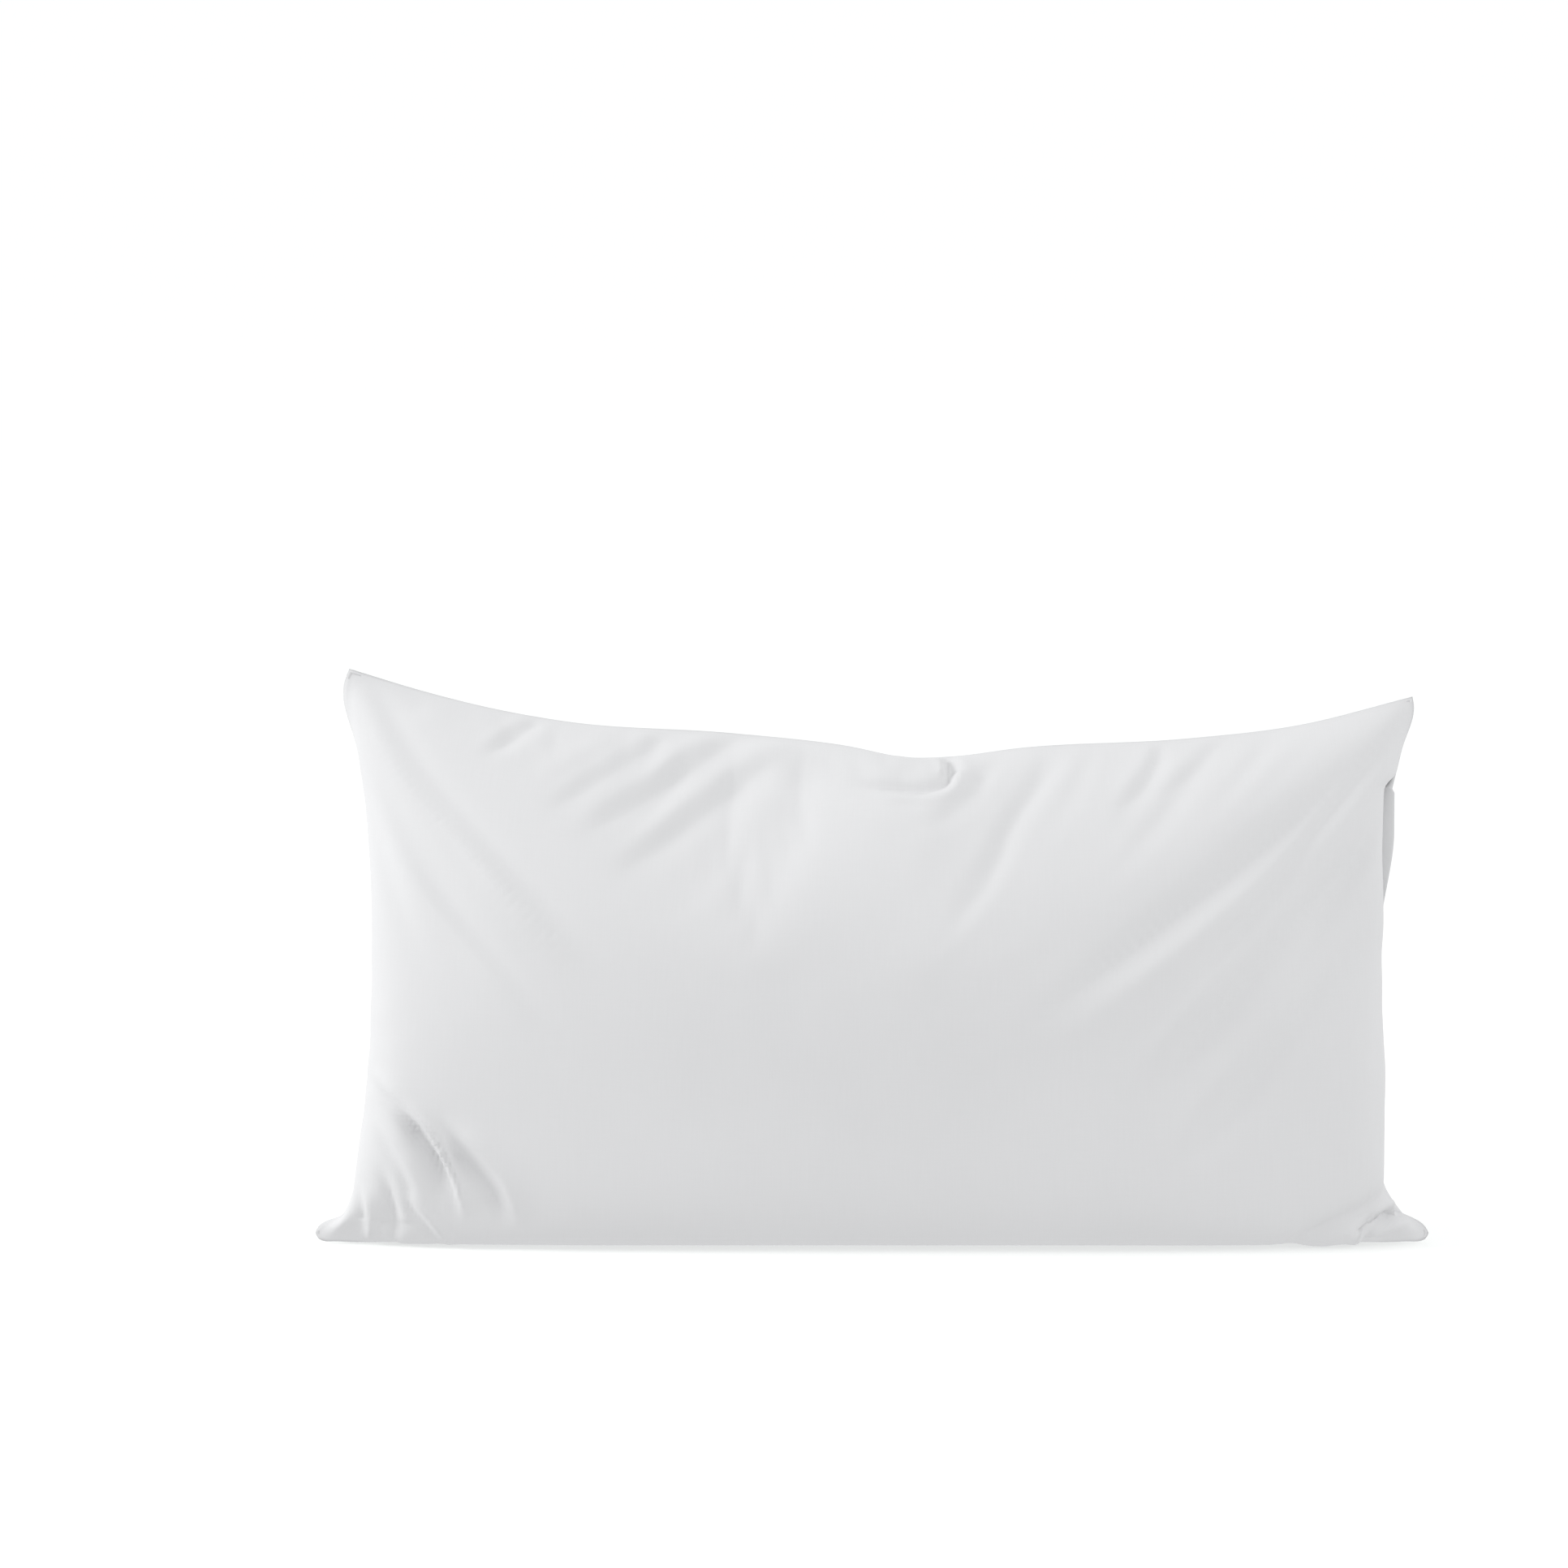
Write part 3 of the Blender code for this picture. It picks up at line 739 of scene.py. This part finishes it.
def ring_places(grid):
    """The edge of a sheet as one ring, and the direction in from it within the upright plane."""
    rows, columns = grid.shape[0] - 1, grid.shape[1] - 1
    ring = ([(0, c) for c in range(columns)] + [(r, columns) for r in range(rows)]
            + [(rows, c) for c in range(columns, 0, -1)] + [(r, 0) for r in range(rows, 0, -1)])
    row, column = np.array(ring).T
    edge = grid[row, column]
    run = np.roll(edge, -1, axis=0) - np.roll(edge, 1, axis=0)
    inward = np.stack([-run[:, 2], np.zeros(len(ring)), run[:, 0]], -1)
    inward /= np.linalg.norm(inward, axis=1, keepdims=True)
    return row, column, edge, inward


def extrude_rim(panel, before, after):
    """Extrude the open edge, and put each new point where its own edge point should lead."""
    count = len(panel.data.vertices)
    only(panel)
    bpy.ops.object.mode_set(mode="EDIT")
    bpy.ops.mesh.select_mode(type="EDGE")
    bpy.ops.mesh.select_all(action="DESELECT")
    bpy.ops.mesh.select_non_manifold()
    bpy.ops.mesh.extrude_region_move()
    bpy.ops.object.mode_set(mode="OBJECT")
    points = get_points(panel.data)
    new = points[count:]
    nearest = np.array([np.argmin(((before - p) ** 2).sum(1)) for p in new])
    points[count:] = after[nearest]
    set_points(panel.data, points)


def sheet_mesh(name, grid, side, size=(CUT_LENGTH, CUT_LEFT)):
    """A sheet of points as an object of faces, with the flat cloth's metres as its UV map."""
    rows, columns = grid.shape[0] - 1, grid.shape[1] - 1
    bpy.ops.object.select_all(action="DESELECT")
    bpy.ops.mesh.primitive_grid_add(x_subdivisions=columns, y_subdivisions=rows, size=1)
    sheet = bpy.context.object
    sheet.name = sheet.data.name = name
    flat = get_points(sheet.data)
    column = np.rint((flat[:, 0] + 0.5) * columns).astype(int)
    row = np.rint((flat[:, 1] + 0.5) * rows).astype(int)
    set_points(sheet.data, grid[row, column])
    layer = sheet.data.uv_layers[0]
    layer.name = "cut"
    corners = np.empty(len(sheet.data.loops), dtype=int)
    sheet.data.loops.foreach_get("vertex_index", corners)
    uv = np.stack([column[corners] / columns * size[0], row[corners] / rows * size[1]], -1)
    layer.data.foreach_set("uv", uv.ravel())
    if side == BACK:
        sheet.data.flip_normals()
    return sheet


def thicken(sheet, thickness, material):
    solid = sheet.modifiers.new("thick", "SOLIDIFY")
    solid.thickness = thickness
    solid.offset = -1
    only(sheet)
    bpy.ops.object.modifier_apply(modifier="thick")
    sheet.data.shade_smooth()
    sheet.data.materials.clear()
    sheet.data.materials.append(material)


def cover_panel(name, grid, side):
    grid = grid.copy()
    row, column, edge, inward = ring_places(grid)
    opened = ((column == grid.shape[1] - 1) * mouth(edge[:, 2]))[:, None]
    out = np.array([0, side, 0])
    rim = edge + out * SEAM_HALF
    grid[row, column] = rim
    roll = edge + inward * SEAM_ROLL + out * SEAM_TOUCH
    tuck = edge + inward * SEAM_TUCK + out * SEAM_TOUCH
    tuck_open = edge.copy()
    tuck_open[:, 0] = tape_x + FACING_OVER_TAPE
    tuck_open[:, 1] = side * FACING_HALF
    tuck = tuck * (1 - opened) + tuck_open * opened
    panel = sheet_mesh(name, grid, side)
    extrude_rim(panel, rim, roll)
    extrude_rim(panel, roll, tuck)
    thicken(panel, CLOTH_THICK, percale)
    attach(panel, "pillow")
    return panel


cover_front = cover_panel("cover_front", sheets[FRONT], FRONT)
cover_back = cover_panel("cover_back", sheets[BACK], BACK)
for panel in (cover_front, cover_back):
    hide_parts(panel.name + "_panel")
    print(panel.name, len(panel.data.polygons), "faces")

# %% [markdown]
# ## The inner pillow
# Inside the cover is the real pillow: a closed casing of down-proof cotton, and the filling inside
# it. Both follow the cover's shape from inside, with the cover's folds left out, because the casing
# is a little smaller and lies loosely in the cover.

# %% Inner casing and filling
CASING_IN = (0.020, 0.036)
CASING_GAP = 0.006
FILLING_IN = (0.034, 0.058)
FILLING_GAP = 0.010
LEAST_HALF = 0.0010
SWELL_ENDS, SWELL_SIDES = 9, 5   # how soon the faces swell, in from the short and the long edges
INNER_GROUND = 0.0045
BEHIND_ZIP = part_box("care_label")[0].x - 0.001


def sampled(grid, u, v):
    """The places at shares u and v of a sheet, between its points."""
    row, column = v * (grid.shape[0] - 1), u * (grid.shape[1] - 1)
    r = np.minimum(row.astype(int), grid.shape[0] - 2)
    c = np.minimum(column.astype(int), grid.shape[1] - 2)
    a, b = (row - r)[..., None], (column - c)[..., None]
    return ((1 - a) * (1 - b) * grid[r, c] + (1 - a) * b * grid[r, c + 1]
            + a * (1 - b) * grid[r + 1, c] + a * b * grid[r + 1, c + 1])


def surface_tree(grid):
    """A search tree of a sheet's faces, to ask for the nearest place on it."""
    rows, columns = grid.shape[:2]
    index = np.arange(rows * columns).reshape(rows, columns)
    quads = np.stack([index[:-1, :-1], index[:-1, 1:], index[1:, 1:], index[1:, :-1]], -1).reshape(-1, 4)
    return BVHTree.FromPolygons(grid.reshape(-1, 3).tolist(), quads.tolist())


def pressed_in(points, tree, side, gap):
    """Points moved inwards where they come nearer than a gap to a cover panel."""
    out = points.copy()
    for i, point in enumerate(points):
        near, normal, _, _ = tree.find_nearest(point)
        outward = np.array(normal) * -side
        depth = np.dot(np.array(near) - point, outward)
        if depth < gap:
            out[i] = np.array(near) - outward * gap
    return out


def inner_sheet(side, inset, gap, least, rows=52, columns=96):
    """A sheet inside a cover panel: its edges inset by shares of the cover, its face a gap inside."""
    v, u = np.meshgrid(np.linspace(0, 1, rows + 1), np.linspace(0, 1, columns + 1), indexing="ij")
    out = sampled(sheets[side], inset[0] + (1 - 2 * inset[0]) * u, inset[1] + (1 - 2 * inset[1]) * v)
    near = np.minimum(np.minimum(u, 1 - u) * SWELL_ENDS, np.minimum(v, 1 - v) * SWELL_SIDES)
    near = np.clip(near, 0, 1)
    swell = np.sqrt(1 - (1 - near) ** 2)
    tree = surface_tree(sheets[side])
    for _ in range(3):
        out = relaxed(out, np.ones(out.shape[:2]), 6)
        out = pressed_in(out.reshape(-1, 3), tree, side, gap).reshape(out.shape)
    out[:, :, 1] *= swell
    for _ in range(2):
        out = pressed_in(out.reshape(-1, 3), tree, side, gap).reshape(out.shape)
    edge = (np.minimum(u, 1 - u) < 1e-6) | (np.minimum(v, 1 - v) < 1e-6)
    out[:, :, 1] = side * np.where(edge, least, np.maximum(out[:, :, 1] * side, least))
    out[:, :, 0] = np.minimum(out[:, :, 0], BEHIND_ZIP)
    out[:, :, 2] = np.maximum(out[:, :, 2], INNER_GROUND + gap * 0.3)
    return out


def casing_panel(name, side):
    grid = finer(casing_sheets[side])
    row, column, edge, inward = ring_places(grid)
    tuck = edge + inward * SEAM_TUCK
    tuck[:, 1] = side * SEAM_ROLL
    panel = sheet_mesh(name, grid, side)
    extrude_rim(panel, edge, tuck)
    thicken(panel, CLOTH_THICK, ticking)
    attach(panel, "pillow")
    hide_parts("inner_" + name + "_panel")
    return panel


def make_filling():
    """Both sides of the filling, joined where they meet."""
    halves = [sheet_mesh("filling", inner_sheet(side, FILLING_IN, FILLING_GAP, 0.0), side)
              for side in (FRONT, BACK)]
    bpy.ops.object.select_all(action="DESELECT")
    for half in halves:
        half.select_set(True)
    bpy.context.view_layer.objects.active = halves[0]
    bpy.ops.object.join()
    filling = bpy.context.object
    bpy.ops.object.mode_set(mode="EDIT")
    bpy.ops.mesh.select_all(action="SELECT")
    bpy.ops.mesh.remove_doubles(threshold=0.0004)
    bpy.ops.object.mode_set(mode="OBJECT")
    filling.data.shade_smooth()
    filling.data.materials.clear()
    filling.data.materials.append(fibre)
    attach(filling, "pillow")
    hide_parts("fibre_filling")
    return filling


ticking = cotton("ticking", (0.80, 0.795, 0.78), 0.03, 0.02, pitch=0.00026, roughness=0.8)
fibre = cotton("fibre", (0.86, 0.86, 0.86), 0.05, 0.10, pitch=0.0010, roughness=1.0, sheen=0.3)
casing_sheets = {side: inner_sheet(side, CASING_IN, CASING_GAP, LEAST_HALF) for side in (FRONT, BACK)}
casing = [casing_panel("casing_front", FRONT), casing_panel("casing_back", BACK)]
filling = make_filling()
print("casing and filling:", [len(p.data.polygons) for p in casing + [filling]], "faces")

# %% [markdown]
# ## Stitches
# The seams of a turned cover show no thread until they are pulled: then small stitches bridge the
# groove. One stitch is made, repeated along a line with Array, and bent along the seam with Curve.

# %% Stitches along the seams
STITCH_LENGTH = 0.0021
STITCH_PITCH = 0.0029
STITCH_RADIUS = 0.00022


def guide(name, places):
    """A curve through places in space, for Array and Curve to follow."""
    curve = bpy.data.curves.new(name, "CURVE")
    curve.dimensions = "3D"
    spline = curve.splines.new("POLY")
    spline.points.add(len(places) - 1)
    for knot, place in zip(spline.points, places):
        knot.co = (*place, 1)
    obj = bpy.data.objects.new(name, curve)
    bpy.context.scene.collection.objects.link(obj)
    return obj


def repeat_along(piece, path, pitch):
    """Repeat a piece along its X axis and bend the row along a guide."""
    row = piece.modifiers.new("row", "ARRAY")
    row.fit_type = "FIT_CURVE"
    row.curve = path
    row.use_relative_offset = False
    row.use_constant_offset = True
    row.constant_offset_displace = (pitch, 0, 0)
    bend = piece.modifiers.new("bend", "CURVE")
    bend.object = path
    only(piece)
    bpy.ops.object.modifier_apply(modifier="row")
    bpy.ops.object.modifier_apply(modifier="bend")
    bpy.data.objects.remove(path)


def stitches(name, places, material, radius=STITCH_RADIUS, length=STITCH_LENGTH, pitch=STITCH_PITCH):
    bpy.ops.object.select_all(action="DESELECT")
    bpy.ops.mesh.primitive_uv_sphere_add(segments=6, ring_count=5, radius=radius,
                                         location=(length / 2, 0, 0), rotation=(0, pi / 2, 0),
                                         scale=(1, 1, length / (2 * radius)))
    piece = bpy.context.object
    piece.name = piece.data.name = name
    bpy.ops.object.transform_apply(location=True, rotation=True, scale=True)
    repeat_along(piece, guide(name + "_line", places), pitch)
    piece.data.shade_smooth()
    piece.data.materials.append(material)
    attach(piece, "pillow")
    return piece


def seam_run(name, start, end, inward, count=120):
    """Places in the groove of one cover seam, between two shares of its length."""
    flat = along(paths[name], np.linspace(start, end, count))
    flat = flat + np.array(inward)
    return [(x, 0.0, z) for x, z in flat]


def thread_look(name, colour, twist=0.0006):
    """Twisted thread: fine slanting plies in the bump, with painted shade between the plies in the
    colour.
    """
    material, wire, shader = new_material(name, Roughness=0.55, Sheen_Weight=0.2)
    place = wire.add("ShaderNodeTexCoord", out=3)
    parts = wire.add("ShaderNodeSeparateXYZ", {}, {0: place})
    run = parts + parts.other(1) + parts.other(2)
    ply = (run * (2 * pi / twist)).sine() * 0.5 + 0.5
    # the colour is darker where a ply is low: painted shade in the grooves between the plies
    base = wire.add("ShaderNodeMix", {"data_type": "RGBA"}, {"Factor": ply}, out=2)
    base.socket.node.inputs[6].default_value = (*[c * 0.86 for c in colour], 1)
    base.socket.node.inputs[7].default_value = (*colour, 1)
    feed(base, shader, "Base Color")
    feed(wire.add("ShaderNodeBump", {}, {"Strength": 0.6, "Distance": 0.0001, "Height": ply}),
         shader, "Normal")
    return material


cotton_thread = thread_look("cotton_thread", (0.80, 0.81, 0.83))
seams = [("cover_seam_thread_top", "top", 0.008, 0.992, (0, -0.0008)),
         ("cover_seam_thread_bottom", "bottom", 0.03, 0.97, (0, 0.0006)),
         ("cover_seam_thread_left", "left", 0.06, 0.985, (0.0008, 0)),
         ("cover_seam_thread_right_lower", "right", 0.045, 0.085, (-0.0008, 0)),
         ("cover_seam_thread_right_upper", "right", 0.86, 0.985, (-0.0008, 0))]
for node, seam, start, end, inward in seams:
    sewn = seam_run(seam, start, end, inward)
    piece = stitches(node.replace("_thread", "_stitches"), sewn, cotton_thread)
    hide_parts(node)
print("stitches on", len(seams), "seams")

# %% [markdown]
# ## The zip
# A pillow-cover zip is two woven tapes, each with a bent nylon coil along its edge, a stop at either
# end and a metal slider with a hanging pull. The coil is one loop of wire, repeated. The hard parts
# keep the frame's shapes, and get the small rounded edges that pressed metal and cut tape have.


# %% Zip materials
def metal_look(name, colour, roughness):
    """Plated zinc: fine rubbed scratches in roughness and bump."""
    material, wire, shader = new_material(name, Metallic=1.0)
    place = wire.add("ShaderNodeTexCoord", out=3)
    rubbed = wire.add("ShaderNodeMapping", {}, {"Vector": place, "Scale": (9000, 9000, 700)})
    scratch = wire.add("ShaderNodeTexNoise", {}, {"Vector": rubbed, "Scale": 1.0, "Detail": 3.0})
    dull = wire.add("ShaderNodeTexNoise", {}, {"Vector": place, "Scale": 900.0, "Detail": 2.0})
    feed(shaded(wire, colour, 0.92 + dull * 0.16), shader, "Base Color")
    feed(roughness + (scratch - 0.5) * 0.16 + (dull - 0.5) * 0.12, shader, "Roughness")
    feed(wire.add("ShaderNodeBump", {}, {"Strength": 0.25, "Distance": 0.00002, "Height": scratch}),
         shader, "Normal")
    return material


def tape_look(name, colour, rib=0.00075):
    """Herringbone tape: slanting ribs that turn back along every wale, in the bump, with painted shade
    between the ribs in the colour.
    """
    material, wire, shader = new_material(name, Roughness=0.8, Sheen_Weight=0.15)
    place = wire.add("ShaderNodeTexCoord", out=3)
    parts = wire.add("ShaderNodeSeparateXYZ", {}, {0: place})
    zigzag = parts.other(1).math("PINGPONG", parts.other(1), rib)
    ribs = (parts.other(2) + zigzag) * (2 * pi / rib)
    height = ribs.sine() * 0.5 + 0.5
    # the colour is darker where a rib is low: painted shade in the grooves between the ribs
    feed(shaded(wire, colour, 0.90 + height * 0.10), shader, "Base Color")
    feed(wire.add("ShaderNodeBump", {}, {"Strength": 0.7, "Distance": 0.00012, "Height": height}),
         shader, "Normal")
    return material


def nylon_look(name, colour):
    """Drawn nylon: smooth and slightly milky, with faint drawing lines."""
    material, wire, shader = new_material(name, IOR=1.53, Subsurface_Weight=0.15,
                                          Subsurface_Radius=(1, 1, 1), Subsurface_Scale=0.0006)
    place = wire.add("ShaderNodeTexCoord", out=3)
    drawn = wire.add("ShaderNodeTexNoise", {}, {"Vector": place, "Scale": 2600.0, "Detail": 2.0})
    feed(shaded(wire, colour, 0.95 + drawn * 0.08), shader, "Base Color")
    feed(0.34 + (drawn - 0.5) * 0.2, shader, "Roughness")
    return material


plated_metal = metal_look("plated_metal", (0.74, 0.74, 0.76), 0.26)
zip_tape_weave = tape_look("zip_tape_weave", (0.76, 0.775, 0.78))
nylon_coil = nylon_look("nylon_coil", (0.80, 0.81, 0.81))
satin = cotton("satin_label", (0.86, 0.86, 0.85), 0.04, 0.02, pitch=0.0002, roughness=0.45, sheen=0.3)


# %% Coils, tapes and stops
COIL_PITCH = 0.00115
COIL_WIRE = 0.00018
COIL_SLANT = 0.30
COIL_START = 0.0004


def coil(side, node):
    """One loop of the coil, repeated up the tape's edge."""
    low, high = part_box(node)
    middle = (low + high) / 2
    half = (high - low) / 2
    bpy.ops.object.select_all(action="DESELECT")
    bpy.ops.mesh.primitive_torus_add(major_segments=12, minor_segments=5,
                                     major_radius=half.y - COIL_WIRE, minor_radius=COIL_WIRE,
                                     location=(middle.x, middle.y, low.z + COIL_START),
                                     rotation=(COIL_SLANT * side, 0, 0))
    piece = bpy.context.object
    piece.name = piece.data.name = "zip_coil_front" if side == FRONT else "zip_coil_back"
    bpy.ops.object.transform_apply(location=True, rotation=True, scale=True)
    row = piece.modifiers.new("row", "ARRAY")
    row.use_relative_offset = False
    row.use_constant_offset = True
    row.constant_offset_displace = (0, 0, COIL_PITCH)
    row.count = int((high.z - low.z - 2 * COIL_START) / COIL_PITCH)
    only(piece)
    bpy.ops.object.modifier_apply(modifier="row")
    piece.data.shade_smooth()
    piece.data.materials.append(nylon_coil)
    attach(piece, "pillow")
    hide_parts(node)
    return piece


def rounded(node, name, width, material, body):
    """The frame's own shape with its flat faces made whole and its edges rounded."""
    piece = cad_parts[node].copy()
    piece.data = piece.data.copy()
    piece.name = piece.data.name = name
    bpy.context.scene.collection.objects.link(piece)
    piece.parent = None
    piece.matrix_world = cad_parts[node].matrix_world
    only(piece)
    bpy.ops.object.transform_apply(location=True, rotation=True, scale=True)
    bpy.ops.object.mode_set(mode="EDIT")
    bpy.ops.mesh.select_all(action="SELECT")
    bpy.ops.mesh.remove_doubles(threshold=1e-6)
    bpy.ops.mesh.dissolve_limited(angle_limit=radians(1))
    bpy.ops.object.mode_set(mode="OBJECT")
    edges = piece.modifiers.new("edges", "BEVEL")
    edges.width = width
    edges.segments = 3
    edges.limit_method = "ANGLE"
    edges.angle_limit = radians(40)
    bpy.ops.object.modifier_apply(modifier="edges")
    bpy.ops.object.shade_smooth_by_angle(angle=radians(35))
    piece.data.materials.clear()
    piece.data.materials.append(material)
    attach(piece, body)
    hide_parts(node)
    return piece


coils = [coil(FRONT, "zip_teeth_front"), coil(BACK, "zip_teeth_back")]
for side in ("front", "back"):
    rounded("zip_tape_" + side, "zip_woven_tape_" + side, 0.00015, zip_tape_weave, "pillow")
for end in ("top", "bottom"):
    rounded("zip_%s_stop" % end, "zip_crimped_stop_" + end, 0.0003, plated_metal, "pillow")
print("coil loops:", [len(c.data.polygons) for c in coils], "faces")

# %% Slider and pull
slider = rounded("zip_slider", "zip_cast_slider", 0.00025, plated_metal, "zip_slider")
pull = rounded("zip_pull_tab", "zip_pressed_pull", 0.00022, plated_metal, "zip_pull")
print("slider", len(slider.data.polygons), "pull", len(pull.data.polygons), "faces")

# %% [markdown]
# ## The lip behind the zip
# A folded strip of the cover's cloth stands out behind the coil and hides it. It is sewn into the
# back of the opening and is widest near the upper end, where it has turned outwards.

# %% The lip
LIP_ROWS, LIP_COLUMNS = 90, 8
LIP_THICK = 0.0009
LIP_CUT = 0.016
LIP_REACH = 0.4088            # how far out the folded edge stands at its lower end
LIP_TURNED = 0.0112           # how much further at its upper end
LIP_TURN_LOW, LIP_TURN_HEIGHT = 0.245, 0.09
LIP_END, LIP_END_EASE = 0.4160, 0.006
LIP_SWAY = 0.0005


def lip_reach(z, high):
    """How far out the lip's folded edge stands at a height."""
    rise = eased((z - LIP_TURN_LOW) / LIP_TURN_HEIGHT, 0, 1)
    fall = np.clip((high - z) / LIP_END_EASE, 0, 1)
    return (LIP_REACH + LIP_TURNED * rise) * fall + LIP_END * (1 - fall)


def make_lip():
    low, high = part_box("zip_flap")
    share, across = np.meshgrid(np.linspace(0, 1, LIP_ROWS + 1), np.linspace(0, 1, LIP_COLUMNS + 1),
                                indexing="ij")
    z = low.z + (high.z - low.z) * share
    x = low.x + (lip_reach(z, high.z) - low.x) * across
    sway = LIP_SWAY * across * np.sin(z * 95) * np.sin(z * 37 + 1)
    y = (low.y + high.y) / 2 + sway
    lip = sheet_mesh("zip_lip", np.stack([x, y, z], -1), BACK, size=(LIP_CUT, high.z - low.z))
    thicken(lip, LIP_THICK, percale)
    edge = lip.modifiers.new("edge", "BEVEL")
    edge.width = 0.00035
    edge.segments = 2
    edge.limit_method = "ANGLE"
    edge.angle_limit = radians(50)
    only(lip)
    bpy.ops.object.modifier_apply(modifier="edge")
    lip.data.shade_smooth()
    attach(lip, "pillow")
    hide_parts("zip_flap")
    return lip


lip = make_lip()
TAPE_SEAM_HALF = 0.0047
TAPE_SEAM_PAST = 0.008
TAPE_SEAM_LIFT = 0.0002
FINE_THREAD = 0.00018
for name, y in (("zip_stitches_front", -TAPE_SEAM_HALF), ("zip_stitches_back", TAPE_SEAM_HALF)):
    heights = np.linspace(zip_low - TAPE_SEAM_PAST, zip_high + TAPE_SEAM_PAST, 90)
    sewn = [(tape_x + TAPE_SEAM_LIFT, y, z) for z in heights]
    stitches(name, sewn, cotton_thread, radius=FINE_THREAD)
print("lip", len(lip.data.polygons), "faces")

# %% Label and the casing's own seam
label = rounded("care_label", "blank_care_label", 0.0001, satin, "pillow")
_, _, edge, inward = ring_places(casing_sheets[FRONT])
ring = edge + inward * 0.0004
ring[:, 1] = 0
casing_stitches = stitches("casing_stitches", ring.tolist(), cotton_thread)
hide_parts("inner_casing_seam_thread")
print("label and casing seam made")
